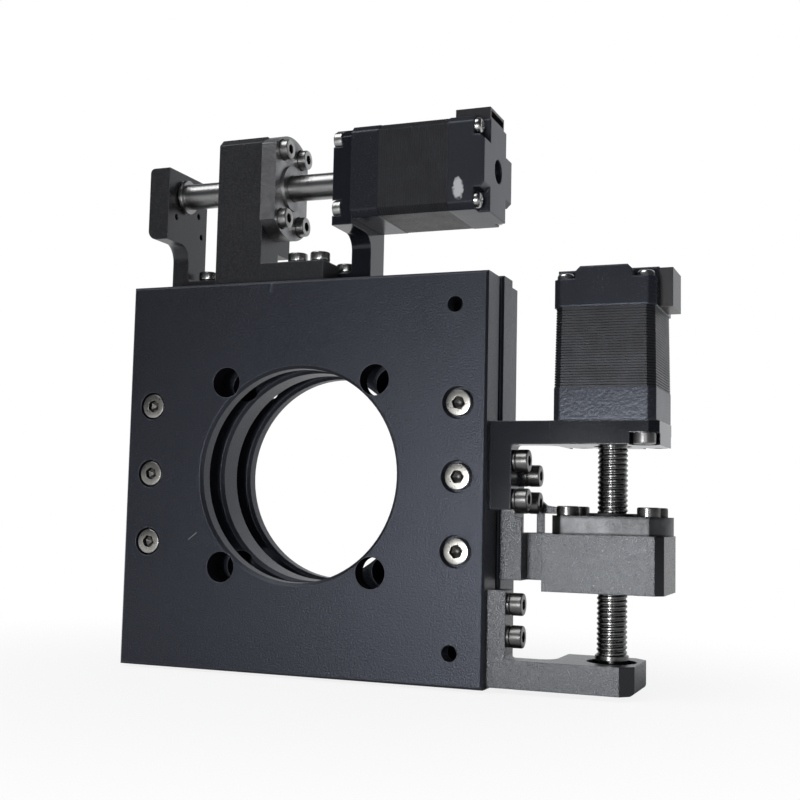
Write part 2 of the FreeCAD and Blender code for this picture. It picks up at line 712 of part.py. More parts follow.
def motor_mount_screws(drive):
    size = drive["mount"]
    seat = drive["motor_plate"][0] + size[2] + MOUNT_SINK
    along = place(drive, 1, 0, 0)
    return [cap_screw(place(drive, seat, v, w), along, MOUNT_SCREW_LENGTH, size)
            for v, w in mount_places(drive)]


def drive_screw(drive):
    """Threaded shaft, which is the shaft of the motor too."""
    thread_start = drive["bearing_plate"][1] + SCREW_END_AIR
    thread_end = drive["motor_plate"][0] + SHAFT_STEP
    stop = drive["motor_plate"][1] + MOTOR_LENGTH - SHAFT_END
    thread = spindle(drive, thread_start, thread_end, SCREW_R)
    thread = thread.makeChamfer(SCREW_CHAMFER, [e for e in thread.Edges if len(e.Vertexes) == 1])
    collar_r, collar_t = drive["collar"]
    collar = spindle(drive, thread_start, thread_start + collar_t, collar_r)
    journal_start = drive["bearing_plate"][0] + JOURNAL_SINK
    journal = spindle(drive, journal_start, thread_start + OVER, JOURNAL_R - BEARING_FIT)
    shaft = spindle(drive, thread_end - OVER, stop, SHAFT_R)
    return join(thread, [collar, journal, shaft])


def bearing(drive):
    start = drive["bearing_plate"][1] - BEARING_T - drive["bearing_sink"]
    face = start + BEARING_T
    ring = spindle(drive, start, face, drive["bearing_r"] - BEARING_FIT)
    floor = face - BEARING_GROOVE
    groove = spindle(drive, floor, face + OVER, drive["bearing_r"] - BEARING_RING)
    groove = groove.cut(spindle(drive, floor - OVER, face + 2 * OVER, JOURNAL_R + BEARING_RING))
    return ring.cut(spindle(drive, start - OVER, face + OVER, JOURNAL_R + JOURNAL_FIT)).cut(groove)


def octagon(drive, u0, u1, half, size):
    v, w = line_v(drive), drive["w"]
    k = half - size
    points = [(v - half, w - k), (v - k, w - half), (v + k, w - half), (v + half, w - k),
              (v + half, w + k), (v + k, w + half), (v - k, w + half), (v - half, w + k)]
    return section(drive, points, (u0, u1))


def motor_front(drive):
    """Front cap with its pilot, the threads of the bracket screws and of the long screws."""
    u0 = drive["motor_plate"][1]
    u1 = u0 + MOTOR_CAP
    cap = octagon(drive, u0, u1, MOTOR_HALF, MOTOR_CHAMFER)
    cap = join(cap, [spindle(drive, u0 - PILOT_T, u0 + OVER / 2, PILOT_R)])
    tools = [spindle(drive, u0 - PILOT_T - OVER, u1 + OVER, SHAFT_R + SHAFT_AIR)]
    tools.append(spindle(drive, u1 - STATOR_STEP, u1 + OVER, STATOR_R))
    tools += [bar(drive, "u", u0 - OVER, v, w, M2[0], MOUNT_THREAD + OVER) for v, w in mount_places(drive)]
    tools += [bar(drive, "u", u0 + BODY_THREAD, v, w, BODY_SCREW[0], MOTOR_CAP)
              for v, w in body_places(drive)]
    return cut(cap, tools)


def motor_stack(drive):
    """Laminated stack, whose corners are cut back a little further than those of the caps."""
    u0 = drive["motor_plate"][1] + MOTOR_CAP
    u1 = u0 + MOTOR_STACK
    stack = octagon(drive, u0, u1, MOTOR_HALF - STACK_INSET, MOTOR_CHAMFER + STACK_CORNER)
    tools = [spindle(drive, u0 - OVER, u1 + OVER, STATOR_R)]
    for v, w in body_places(drive):
        tools.append(bar(drive, "u", u0 - OVER, v, w, STACK_HOLE_R, MOTOR_STACK + 2 * OVER))
    return cut(stack, tools)


def rotor(drive):
    u0 = drive["motor_plate"][1] + MOTOR_CAP + ROTOR_END_AIR
    u1 = u0 + MOTOR_STACK - 2 * ROTOR_END_AIR
    return spindle(drive, u0, u1, ROTOR_R).cut(spindle(drive, u0 - OVER, u1 + OVER, SHAFT_R + ROTOR_FIT))


def motor_rear(drive):
    """Rear cap: each corner steps down to a screw, and the middle slopes to the steps."""
    u0 = drive["motor_plate"][1] + MOTOR_CAP + MOTOR_STACK
    u1 = drive["motor_plate"][1] + MOTOR_LENGTH
    v, w = line_v(drive), drive["w"]
    cap = octagon(drive, u0, u1, MOTOR_HALF, MOTOR_CHAMFER)
    tools = [spindle(drive, u0 - OVER, u1 + OVER, SHAFT_R + REAR_HOLE_AIR)]
    tools.append(spindle(drive, u0 - OVER, u0 + STATOR_REAR_STEP, STATOR_R))
    near = MOTOR_HALF - POCKET
    far = MOTOR_HALF + OVER
    for sv in (-1, 1):
        for sw in (-1, 1):
            points = [(v + sv * near, w + sw * near), (v + sv * far, w + sw * near),
                      (v + sv * far, w + sw * far), (v + sv * near, w + sw * far)]
            tools.append(section(drive, points, (u1 - POCKET_DEPTH, u1 + OVER)))
            slope = [(u1 - SHOULDER, v + sv * near), (u1 - SHOULDER, v + sv * (near + OVER)),
                     (u1 + OVER, v + sv * (near + OVER)), (u1 + OVER, v + sv * (near - SHOULDER)),
                     (u1, v + sv * (near - SHOULDER))]
            tools.append(across_depth(drive, slope, sorted((w + sw * near, w + sw * far))))
    for a, b in body_places(drive):
        tools.append(bar(drive, "u", u0 - OVER, a, b, STACK_HOLE_R, u1 - u0 + OVER))
    return cut(cap, tools)


def motor_body_screws(drive):
    """Long pan head screws that hold the two caps and the stack together."""
    shank_r, head_r, head_h = BODY_SCREW
    u0 = drive["motor_plate"][1] + BODY_THREAD
    floor = drive["motor_plate"][1] + MOTOR_LENGTH - POCKET_DEPTH
    screws = []
    for v, w in body_places(drive):
        shank = bar(drive, "u", u0, v, w, shank_r - THREAD_FIT, floor - u0)
        head = bar(drive, "u", floor, v, w, head_r, head_h)
        top = max(head.Edges, key=lambda e: along_u(drive, e.Vertexes[0].Point))
        screws.append(shank.fuse(head.makeFillet(BODY_SCREW_ROUND, [top])).removeSplitter())
    return screws


def along_u(drive, point):
    return point.x if drive["name"] == "x" else point.z


def connector(drive):
    """Pin header on the side of the rear cap, open towards the rear."""
    u1 = drive["motor_plate"][1] + MOTOR_LENGTH - CONNECTOR_BACK
    u0 = u1 - CONNECTOR_LENGTH
    v = line_v(drive) + MOTOR_HALF
    w0, w1 = drive["w"] - CONNECTOR_LOW, drive["w"] + CONNECTOR_HIGH
    wall = CONNECTOR_WALL
    floor = u0 + CONNECTOR_FLOOR
    shell = slab(drive, (u0, u1), (v, v + CONNECTOR_T), (w0, w1))
    hollow = slab(drive, (floor, u1 + OVER), (v + wall, v + CONNECTOR_T - wall), (w0 + wall, w1 - wall))
    pins = []
    mid = v + CONNECTOR_T / 2
    half = PIN_SIDE / 2
    for index in range(PIN_COUNT):
        w = (w0 + w1) / 2 + (index - (PIN_COUNT - 1) / 2) * PIN_PITCH
        pin_u = (floor - OVER / 2, u1 - PIN_SHORT)
        pins.append(slab(drive, pin_u, (mid - half, mid + half), (w - half, w + half)))
    return join(shell.cut(hollow), pins)


def drive_nodes(drive):
    name = drive["name"]
    motor_foot, motor_washers = foot_screws(drive, drive["motor_screws"], drive["motor_foot"])
    bearing_foot, bearing_washers = foot_screws(drive, drive["bearing_screws"], drive["bearing_foot"])
    nut_foot, nut_washers = nut_foot_screws(drive)
    return {
        name + "_motor_bracket": motor_bracket(drive),
        name + "_bearing_bracket": bearing_bracket(drive),
        name + "_nut_bracket": nut_bracket(drive),
        name + "_ball_nut": ball_nut(drive),
        name + "_screw": drive_screw(drive),
        name + "_rotor": rotor(drive),
        name + "_bearing": bearing(drive),
        name + "_motor_front_cap": motor_front(drive),
        name + "_motor_stack": motor_stack(drive),
        name + "_motor_rear_cap": motor_rear(drive),
        name + "_motor_connector": connector(drive),
        name + "_motor_body_screws": group(motor_body_screws(drive)),
        name + "_motor_mount_screws": group(motor_mount_screws(drive)),
        name + "_bracket_screws": group(motor_foot + bearing_foot),
        name + "_bracket_washers": group(motor_washers + bearing_washers),
        name + "_nut_foot_screws": group(nut_foot),
        name + "_nut_foot_washers": group(nut_washers),
        name + "_nut_flange_screws": group(flange_screws(drive)),
    }


def rail_nodes():
    nodes = {
        "front_rails": both_sides(outer_rail(FRONT_SPLIT)),
        "middle_front_rails": both_sides(inner_rail(FRONT_SPLIT)),
        "middle_back_rails": [to_back(s) for s in both_sides(inner_rail(BACK_SPLIT))],
        "base_rails": [to_back(s) for s in both_sides(outer_rail(BACK_SPLIT))],
        "z_roller_cages": both_sides(cage_strip(FRONT_SPLIT)),
        "z_rollers": [copy for roll in rollers(FRONT_SPLIT) for copy in both_sides(roll)],
        "x_roller_cages": [to_back(s) for s in both_sides(cage_strip(BACK_SPLIT))],
        "x_rollers": [to_back(copy) for roll in rollers(BACK_SPLIT) for copy in both_sides(roll)],
        "front_rail_screws": front_rail_screws(),
        "base_rail_screws": base_rail_screws(),
        "middle_front_rail_screws": inner_rail_screws(FRONT_SPLIT),
        "middle_back_rail_screws": [to_back(s) for s in inner_rail_screws(BACK_SPLIT)],
    }
    return {name: group(solids) for name, solids in nodes.items()}


def build():
    nodes = {"base_plate": base_plate(), "middle_plate": middle_plate(), "front_plate": front_plate()}
    nodes.update(rail_nodes())
    nodes.update(drive_nodes(X_DRIVE))
    nodes.update(drive_nodes(Z_DRIVE))
    return nodes


os.makedirs("parts", exist_ok=True)
for node_name, node_shape in build().items():
    node_shape.exportStep("parts/" + node_name + ".step")
    b = node_shape.BoundBox
    limits = [round(value, 2) for value in (b.XMin, b.XMax, b.YMin, b.YMax, b.ZMin, b.ZMax)]
    state = "valid" if node_shape.isValid() else "NOT VALID"
    print(node_name, len(node_shape.Solids), "solids", limits, state)
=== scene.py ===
"""Looks of the motorized xy stage: plates, brackets, screws, nuts and motors in a plain studio."""

import logging
import math
from dataclasses import dataclass
from enum import Enum
from typing import Callable, ClassVar, Optional, Sequence, Union

import bmesh
import bpy
from mathutils import Matrix, Vector

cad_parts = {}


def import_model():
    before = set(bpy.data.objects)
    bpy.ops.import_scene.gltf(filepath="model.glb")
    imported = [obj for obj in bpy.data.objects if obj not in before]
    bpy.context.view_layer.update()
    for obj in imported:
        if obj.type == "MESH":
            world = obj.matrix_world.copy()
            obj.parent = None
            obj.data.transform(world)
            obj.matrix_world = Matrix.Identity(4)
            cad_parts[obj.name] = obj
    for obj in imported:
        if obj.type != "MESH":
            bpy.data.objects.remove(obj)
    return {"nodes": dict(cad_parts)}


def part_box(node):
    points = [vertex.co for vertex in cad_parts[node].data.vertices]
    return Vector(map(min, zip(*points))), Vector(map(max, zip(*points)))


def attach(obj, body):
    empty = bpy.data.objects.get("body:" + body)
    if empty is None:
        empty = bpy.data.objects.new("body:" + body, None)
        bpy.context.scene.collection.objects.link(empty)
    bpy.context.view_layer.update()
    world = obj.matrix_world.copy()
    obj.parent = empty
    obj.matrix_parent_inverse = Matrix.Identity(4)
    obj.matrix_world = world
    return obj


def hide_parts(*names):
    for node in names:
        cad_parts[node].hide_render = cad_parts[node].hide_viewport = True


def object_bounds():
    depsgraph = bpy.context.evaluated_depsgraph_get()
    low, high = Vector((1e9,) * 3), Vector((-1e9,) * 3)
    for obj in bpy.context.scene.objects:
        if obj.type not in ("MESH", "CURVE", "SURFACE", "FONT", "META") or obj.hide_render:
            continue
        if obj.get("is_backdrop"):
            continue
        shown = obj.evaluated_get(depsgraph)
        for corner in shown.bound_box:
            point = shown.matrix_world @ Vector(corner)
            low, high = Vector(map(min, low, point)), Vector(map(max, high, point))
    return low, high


LOG = logging.getLogger("xy_stage")
MM = 0.001
JOINED = 0.001 * MM
BROKEN_EDGE = 0.2 * MM
Colour = tuple[float, float, float]
Point = tuple[float, float, float]
Span = tuple[float, float]
Number = Union[float, "Wire"]
Tone = Union[Colour, "Wire"]
Profile = Sequence[tuple[float, float]]
WHITE: Colour = (1.0, 1.0, 1.0)


class Wire:
    """A socket of a shader that can be used in sums."""

    def __init__(self, shader: "Shader", socket: bpy.types.NodeSocket) -> None:
        """Keeps the shader and the socket.

        Args:
            shader: the shader that the socket belongs to.
            socket: an output socket of one of its nodes.
        """
        self.shader = shader
        self.socket = socket

    def _sum(self, operation: str, *values: Number) -> "Wire":
        """Adds one Math node."""
        return self.shader.add("ShaderNodeMath", {"operation": operation}, dict(enumerate(values)))

    def __add__(self, other: Number) -> "Wire":
        """Sum."""
        return self._sum("ADD", self, other)

    def __radd__(self, other: Number) -> "Wire":
        """Sum with a number on the left."""
        return self._sum("ADD", other, self)

    def __sub__(self, other: Number) -> "Wire":
        """Difference."""
        return self._sum("SUBTRACT", self, other)

    def __rsub__(self, other: Number) -> "Wire":
        """Difference with a number on the left."""
        return self._sum("SUBTRACT", other, self)

    def __mul__(self, other: Number) -> "Wire":
        """Product."""
        return self._sum("MULTIPLY", self, other)

    def __rmul__(self, other: Number) -> "Wire":
        """Product with a number on the left."""
        return self._sum("MULTIPLY", other, self)

    def __truediv__(self, other: Number) -> "Wire":
        """Quotient."""
        return self._sum("DIVIDE", self, other)

    def __pow__(self, other: Number) -> "Wire":
        """Power."""
        return self._sum("POWER", self, other)

    def __abs__(self) -> "Wire":
        """Distance from nought."""
        return self._sum("ABSOLUTE", self)

    def ramp(self, low: float, high: float, start: float = 0.0, end: float = 1.0) -> "Wire":
        """Smooth step from start, below low, to end, above high.

        Args:
            low: value at which the step begins.
            high: value at which it ends.
            start: result below low.
            end: result above high.

        Returns:
            The stepped value.
        """
        settings = {"interpolation_type": "SMOOTHSTEP"}
        return self.shader.add("ShaderNodeMapRange", settings, {0: self, 1: low, 2: high, 3: start, 4: end})

    def fall(self, low: float, high: float) -> "Wire":
        """Smooth step from one, below low, to nought, above high."""
        return self.ramp(low, high, 1.0, 0.0)


class Shader:
    """The node tree of one material or of the world."""

    def __init__(self, tree: bpy.types.NodeTree) -> None:
        """Empties the tree.

        Args:
            tree: the node tree to fill.
        """
        self.tree = tree
        tree.nodes.clear()

    def add(self, kind: str, settings: Optional[dict] = None, inputs: Optional[dict] = None,
            out: Union[int, str] = 0) -> Wire:
        """Adds a node.

        Args:
            kind: the node's type.
            settings: its properties, which are set first.
            inputs: values or wires by the name or number of the socket.
            out: the output that is handed back.

        Returns:
            The output socket.
        """
        node = self.tree.nodes.new(kind)
        for key, value in (settings or {}).items():
            setattr(node, key, value)
        for key, value in (inputs or {}).items():
            if isinstance(value, Wire):
                self.tree.links.new(value.socket, node.inputs[key])
            else:
                node.inputs[key].default_value = value
        return Wire(self, node.outputs[out] if node.outputs else None)

    def place(self) -> Wire:
        """Object coordinates, in metres."""
        return self.add("ShaderNodeTexCoord", out="Object")

    def axes(self, place: Wire) -> tuple[Wire, Wire, Wire]:
        """The three parts of a vector.

        Args:
            place: the vector.

        Returns:
            Its x, y and z.
        """
        across = self.add("ShaderNodeSeparateXYZ", {}, {0: place})
        _, deep, up = across.socket.node.outputs
        return across, Wire(self, deep), Wire(self, up)

    def noise(self, place: Wire, scale: float, detail: float = 2.0, rough: float = 0.5) -> Wire:
        """Noise from nought to one.

        Args:
            place: where it is read.
            scale: turns per metre.
            detail: finer layers.
            rough: weight of the finer layers.

        Returns:
            The noise.
        """
        inputs = {"Vector": place, "Scale": scale, "Detail": detail, "Roughness": rough}
        return self.add("ShaderNodeTexNoise", {"normalize": True}, inputs)

    def blend(self, factor: Wire, first: Number, second: Number) -> Wire:
        """Mix of two numbers."""
        return self.add("ShaderNodeMix", {"data_type": "FLOAT"}, {0: factor, 2: first, 3: second})

    def tint(self, factor: Number, first: Tone, second: Tone) -> Wire:
        """Mix of two colours.

        Args:
            factor: share of the second.
            first: colour at nought.
            second: colour at one.

        Returns:
            The colour.
        """
        inputs = {0: factor, 6: opaque(first), 7: opaque(second)}
        return self.add("ShaderNodeMix", {"data_type": "RGBA"}, inputs, 2)

    def edge_normal_and_mask(self, radius: float) -> tuple[Wire, Wire]:
        """Rounded normal and a mask of the sharp edges.

        Args:
            radius: radius of the rounding, in metres.

        Returns:
            The normal and the mask, which is one on an edge.
        """
        soft = self.add("ShaderNodeBevel", {"samples": 4}, {"Radius": radius})
        flat = self.add("ShaderNodeNewGeometry", out="Normal")
        same = self.add("ShaderNodeVectorMath", {"operation": "DOT_PRODUCT"}, {0: soft, 1: flat}, "Value")
        return soft, same.fall(0.80, 0.985)

    def relief(self, height: Wire, depth: float, soft: Wire) -> Wire:
        """Normal of a fine relief.

        Args:
            height: the relief, from nought to one.
            depth: its depth, in metres.
            soft: the normal that it is laid on.

        Returns:
            The normal.
        """
        inputs = {"Strength": 1.0, "Distance": depth, "Height": height, "Normal": soft}
        return self.add("ShaderNodeBump", {}, inputs)

    def surface(self, inputs: dict, dark: Optional[Wire] = None) -> None:
        """Ends the tree in one Principled surface.

        Args:
            inputs: values and wires of the surface.
            dark: where a deep black, painted shade, takes its place.
        """
        surface = self.add("ShaderNodeBsdfPrincipled", {}, inputs)
        # painted shade: a black diffuse stands in for the surface where the mask is set
        if dark:
            black = self.add("ShaderNodeBsdfDiffuse", {}, {"Color": (0.006, 0.006, 0.008, 1.0)})
            surface = self.add("ShaderNodeMixShader", {}, {0: dark, 1: surface, 2: black})
        self.add("ShaderNodeOutputMaterial", {}, {"Surface": surface})


def opaque(tone: Tone) -> Union[Wire, tuple[float, float, float, float]]:
    """A wire as it is, or a colour with full alpha."""
    return tone if isinstance(tone, Wire) else (*tone, 1.0)


def scaled(colour: Colour, factor: float, lift: float = 0.0) -> Colour:
    """A colour times a number, and a little more, up to white."""
    return tuple(min(1.0, part * factor + lift) for part in colour)


@dataclass(frozen=True)
class ShadedBores:
    """Four holes through the plates whose walls get painted shade: a deep black right to the rim."""

    across: float = 17.5 * MM
    up: float = 20.0 * MM
    radius: float = 3.3 * MM
    blur: float = 0.08 * MM
    front: Span = (0.2 * MM, 0.3 * MM)
    back: Span = (17.7 * MM, 17.8 * MM)

    def mask(self, shader: Shader, place: Wire) -> Wire:
        """Where the walls are, which get painted shade.

        Args:
            shader: the tree.
            place: object coordinates.

        Returns:
            The mask.
        """
        x, y, z = shader.axes(place)
        away = ((abs(x) - self.across) ** 2.0 + (abs(z) - self.up) ** 2.0) ** 0.5
        return away.fall(self.radius, self.radius + self.blur) * y.ramp(*self.front) * y.fall(*self.back)


@dataclass(frozen=True)
class Scratch:
    """A short scratch low on the left of the stage plate's face."""

    x: float = -24.6 * MM
    z: float = -13.55 * MM
    run: float = 0.78
    rise: float = 0.62
    half_width: Span = (0.04 * MM, 0.12 * MM)
    half_length: Span = (1.1 * MM, 1.4 * MM)
    skin: Span = (0.2 * MM, 0.3 * MM)
    strength: float = 0.55
    colour: Colour = (0.28, 0.28, 0.27)

    def mask(self, shader: Shader, place: Wire) -> Wire:
        """Where the scratch is.

        Args:
            shader: the tree.
            place: object coordinates.

        Returns:
            The mask.
        """
        x, y, z = shader.axes(place)
        along = (x - self.x) * self.run + (z - self.z) * self.rise
        across = (x - self.x) * self.rise - (z - self.z) * self.run
        line = abs(across).fall(*self.half_width) * abs(along).fall(*self.half_length)
        return line * abs(y).fall(*self.skin) * self.strength


@dataclass(frozen=True)
class Rubbed:
    """A rubbed patch with a ragged rim on a motor cap."""

    at: Point
    half_width: float = 1.3 * MM
    half_height: float = 2.5 * MM
    skin: Span = (0.6 * MM, 0.8 * MM)
    ragged: float = 1.6
    strength: float = 0.9
    colour: Colour = (0.36, 0.36, 0.37)

    def mask(self, shader: Shader, place: Wire) -> Wire:
        """Where the patch is.

        Args:
            shader: the tree.
            place: object coordinates.

        Returns:
            The mask.
        """
        x, y, z = shader.axes(place)
        noise = shader.noise(place, 1100.0, 3.0)
        across = (abs(x - self.at[0]) / self.half_width) ** 2.0
        up = (abs(z - self.at[2]) / self.half_height) ** 2.0
        patch = (across + up + (noise - 0.5) * self.ragged).fall(0.5, 1.1)
        return patch * abs(y - self.at[1]).fall(*self.skin)


@dataclass(frozen=True)
class Finish:
    """A finish: its name and the name of a slot."""

    name: str
    slot: str

    made: ClassVar[dict[str, bpy.types.Material]] = {}

    def material(self) -> bpy.types.Material:
        """Makes the material once.

        Returns:
            The material.
        """
        if self.name not in Finish.made:
            material = bpy.data.materials.new(self.name)
            material.use_nodes = True
            self.build(Shader(material.node_tree))
            Finish.made[self.name] = material
        return Finish.made[self.name]

    def build(self, shader: Shader) -> None:
        """Fills the node tree.

        Args:
            shader: the tree to fill.
        """
        raise NotImplementedError


@dataclass(frozen=True)
class Anodised(Finish):
    """Black anodised aluminium, blasted with fine beads before the dye."""

    colour: Colour = (0.008, 0.0086, 0.0115)
    tinge: Colour = (0.84, 0.91, 1.10)
    sheen: float = 0.5
    roughness: float = 0.355
    grain: float = 2600.0
    depth: float = 0.1 * MM
    sparkle: float = 0.3
    specks: float = 0.35
    speck_band: Span = (0.36, 0.74)
    clouds: float = 55.0
    cloud_rough: float = 0.08
    smears: float = 14.0
    smear_rough: float = 0.06
    # paler edge colour: partly rubbed finish, partly painted highlight along the edges
    edge: Colour = (0.075, 0.08, 0.09)
    edge_radius: float = 0.3 * MM
    edge_grain: float = 900.0
    edge_band: Span = (0.3, 0.6)
    edge_least: float = 0.45
    cut: bool = False
    cut_facing: Span = (0.40, 0.46)
    cut_roughness: float = 0.13
    # colour of the chamfers: painted shade
    chamfer_shade: Colour = (0.004, 0.004, 0.005)
    scratch: Optional[Scratch] = None
    bore_shade: Optional[ShadedBores] = None

    def build(self, shader: Shader) -> None:
        """Grain in the bump, cloudy sheen, paler edges that are partly rubbed finish and partly painted
        highlight and, on some brackets, shinier machined chamfers whose darker colour is painted shade.

        Args:
            shader: the tree to fill.
        """
        place = shader.place()
        grain = shader.noise(place, self.grain, 3.0, 0.65)
        cloud = shader.noise(place, self.clouds, 3.0)
        smear = shader.noise(place, self.smears)
        soft, edge_mask = shader.edge_normal_and_mask(self.edge_radius)
        body = shader.tint(grain.ramp(*self.speck_band), scaled(self.colour, 1 - self.specks),
                           scaled(self.colour, 1 + self.specks))
        patchy = shader.noise(place, self.edge_grain).ramp(*self.edge_band, self.edge_least)
        # paler edges: partly rubbed finish, partly painted highlight
        colour = shader.tint(edge_mask * patchy, body, self.edge)
        if self.scratch:
            colour = shader.tint(self.scratch.mask(shader, place), colour, self.scratch.colour)
        rough = self.roughness + (cloud - 0.5) * self.cloud_rough + (grain - 0.5) * self.sparkle
        rough = rough + (smear - 0.5) * self.smear_rough
        if self.cut:
            across, along, _ = shader.axes(shader.add("ShaderNodeNewGeometry", out="Normal"))
            chamfer_mask = (abs(across) * abs(along)).ramp(*self.cut_facing)
            rough = shader.blend(chamfer_mask, rough, self.cut_roughness)
            # painted shade: the chamfers take a darker colour; their lower roughness is the machined finish
            colour = shader.tint(chamfer_mask, colour, self.chamfer_shade)
            grain = grain - (grain - 0.5) * chamfer_mask
        # painted shade over the bore walls
        dark = self.bore_shade.mask(shader, place) if self.bore_shade else None
        shader.surface({"Base Color": colour, "Roughness": rough, "Specular IOR Level": self.sheen,
                        "Specular Tint": opaque(self.tinge),
                        "Normal": shader.relief(grain, self.depth, soft)}, dark)


@dataclass(frozen=True)
class Steel(Finish):
    """Bare or blackened steel, turned or ground."""

    colour: Colour = (0.42, 0.42, 0.41)
    roughness: float = 0.28
    streak: float = 0.12
    stain: float = 0.3
    stains: float = 260.0
    stain_band: Span = (0.35, 0.7)
    stain_rough: float = 0.12
    grain: float = 1800.0
    depth: float = 0.006 * MM
    metallic: float = 1.0
    edge_radius: float = 0.12 * MM
    edge: Optional[Colour] = None

    def build(self, shader: Shader) -> None:
        """Fine grain, faint stains and softly broken edges: paler edges are partly rubbed finish and partly
        painted highlight, and a given edge colour is painted shade.

        Args:
            shader: the tree to fill.
        """
        place = shader.place()
        grain = shader.noise(place, self.grain, 3.0, 0.6)
        stain = shader.noise(place, self.stains, 3.0)
        soft, edge_mask = shader.edge_normal_and_mask(self.edge_radius)
        body = shader.tint(stain.ramp(*self.stain_band), self.colour, scaled(self.colour, 1 - self.stain))
        # edge colour: paler by default, partly rubbed finish and partly painted highlight; a given edge
        # colour is painted shade
        edge, edge_strength = (self.edge, 0.95) if self.edge else (scaled(self.colour, 1.35, 0.02), 0.6)
        colour = shader.tint(edge_mask * edge_strength, body, edge)
        rough = self.roughness + (grain - 0.5) * 2 * self.streak + (stain - 0.5) * self.stain_rough
        shader.surface({"Base Color": colour, "Metallic": self.metallic, "Roughness": rough,
                        "Normal": shader.relief(grain, self.depth, soft)})


@dataclass(frozen=True)
class SealedBearing(Finish):
    """Ground bearing rings with a black seal between them."""

    centre: Point
    seal: Span
    along_x: bool = False
    blur: float = 0.04 * MM
    steel: Colour = (0.5, 0.5, 0.48)
    rubber: Colour = (0.012, 0.012, 0.013)

    def build(self, shader: Shader) -> None:
        """Steel rings, and rubber where the distance from the axis lies inside the seal.

        Args:
            shader: the tree to fill.
        """
        place = shader.place()
        x, y, z = shader.axes(place)
        side = (z - self.centre[2]) if self.along_x else (x - self.centre[0])
        away = (side ** 2.0 + (y - self.centre[1]) ** 2.0) ** 0.5
        inner, outer = self.seal
        blur = self.blur
        rubber = away.ramp(inner - blur, inner + blur) * away.fall(outer - blur, outer + blur)
        grain = shader.noise(place, 2600.0, 3.0)
        soft, _ = shader.edge_normal_and_mask(0.1 * MM)
        shader.surface({"Base Color": shader.tint(rubber, self.steel, self.rubber), "Metallic": 1.0 - rubber,
                        "Roughness": 0.2 + rubber * 0.4 + (grain - 0.5) * 0.1,
                        "Normal": shader.relief(grain, 0.008 * MM, soft)})


@dataclass(frozen=True)
class Header(Finish):
    """Moulded socket of a motor with gilt pins inside the box from low to high."""

    low: Point
    high: Point
    blur: float = 0.01 * MM
    plastic: Colour = (0.017, 0.017, 0.019)
    edge: Colour = (0.05, 0.052, 0.056)
    gold: Colour = (0.80, 0.60, 0.25)

    def build(self, shader: Shader) -> None:
        """Matt moulding, and gold where the pins stand.

        Args:
            shader: the tree to fill.
        """
        place = shader.place()
        inside: Number = 1.0
        for part, low, high in zip(shader.axes(place), self.low, self.high):
            half = (high - low) / 2
            inside = abs(part - (low + half)).fall(half - self.blur, half) * inside
        peel = shader.noise(place, 2400.0, 3.0)
        soft, edge_mask = shader.edge_normal_and_mask(0.15 * MM)
        # paler edges of the moulding: partly rubbed plastic, partly painted highlight
        colour = shader.tint(inside, shader.tint(edge_mask * 0.5, self.plastic, self.edge), self.gold)
        shader.surface({"Base Color": colour, "Metallic": inside,
                        "Roughness": 0.34 - inside * 0.12 + (peel - 0.5) * 0.16,
                        "Normal": shader.relief(peel, 0.01 * MM, soft)})


@dataclass(frozen=True)
class Enamel(Finish):
    """Black paint on the motors' caps, with faint dust and paler edges that are partly rubbed paint and
    partly painted highlight.
    """

    colour: Colour = (0.012, 0.013, 0.0165)
    tinge: Colour = (0.86, 0.93, 1.10)
    roughness: float = 0.3
    ripple: float = 0.012 * MM
    ripples: float = 700.0
    dust: float = 0.08
    dust_grain: float = 3200.0
    dust_band: Span = (0.55, 0.85)
    dust_rough: float = 0.4
    dust_colour: Colour = (0.10, 0.10, 0.11)
    clouds: float = 90.0
    cloud_rough: float = 0.1
    edge: Colour = (0.05, 0.053, 0.06)
    edge_radius: float = 0.6 * MM
    edge_share: float = 0.3
    rubbed: Optional[Rubbed] = None

    def build(self, shader: Shader) -> None:
        """Orange peel in the bump, dust in the sheen and, on one cap, a rubbed patch.

        Args:
            shader: the tree to fill.
        """
        place = shader.place()
        peel = shader.noise(place, self.ripples)
        dust = shader.noise(place, self.dust_grain).ramp(*self.dust_band) * self.dust
        cloud = shader.noise(place, self.clouds, 3.0)
        soft, edge_mask = shader.edge_normal_and_mask(self.edge_radius)
        colour = shader.tint(dust, self.colour, self.dust_colour)
        # paler edges: partly rubbed paint, partly painted highlight
        colour = shader.tint(edge_mask * self.edge_share, colour, self.edge)
        if self.rubbed:
            share = self.rubbed.mask(shader, place) * self.rubbed.strength
            colour = shader.tint(share, colour, self.rubbed.colour)
        rough = self.roughness + (cloud - 0.5) * self.cloud_rough + dust * self.dust_rough
        shader.surface({"Base Color": colour, "Roughness": rough, "Specular Tint": opaque(self.tinge),
                        "Normal": shader.relief(peel, self.ripple, soft)})


PLATE = Anodised("plate_black", "black_anodised", scratch=Scratch(), bore_shade=ShadedBores())
BRACKET = Anodised("bracket_black", "black_anodised", colour=(0.017, 0.0172, 0.0185),
                   tinge=(0.95, 0.97, 1.03), roughness=0.34, depth=0.03 * MM, sparkle=0.08)
COARSE = Anodised("bracket_blasted", "black_anodised", colour=(0.027, 0.028, 0.0305), tinge=(0.97, 1.0, 1.06),
                  sheen=0.56, roughness=0.29, grain=3200.0, depth=0.07 * MM, sparkle=0.26, specks=0.5,
                  cut=True)
SMOOTH = Anodised("bracket_smooth", "black_anodised", tinge=(0.95, 0.97, 1.03), roughness=0.15,
                  depth=0.002 * MM, specks=0.1, sparkle=0.04)
RAIL = Steel("rail_ground", "rail_steel", colour=(0.45, 0.45, 0.44), roughness=0.22)
BEARING = Steel("bearing_bright", "bearing_steel", colour=(0.55, 0.55, 0.53), roughness=0.16)
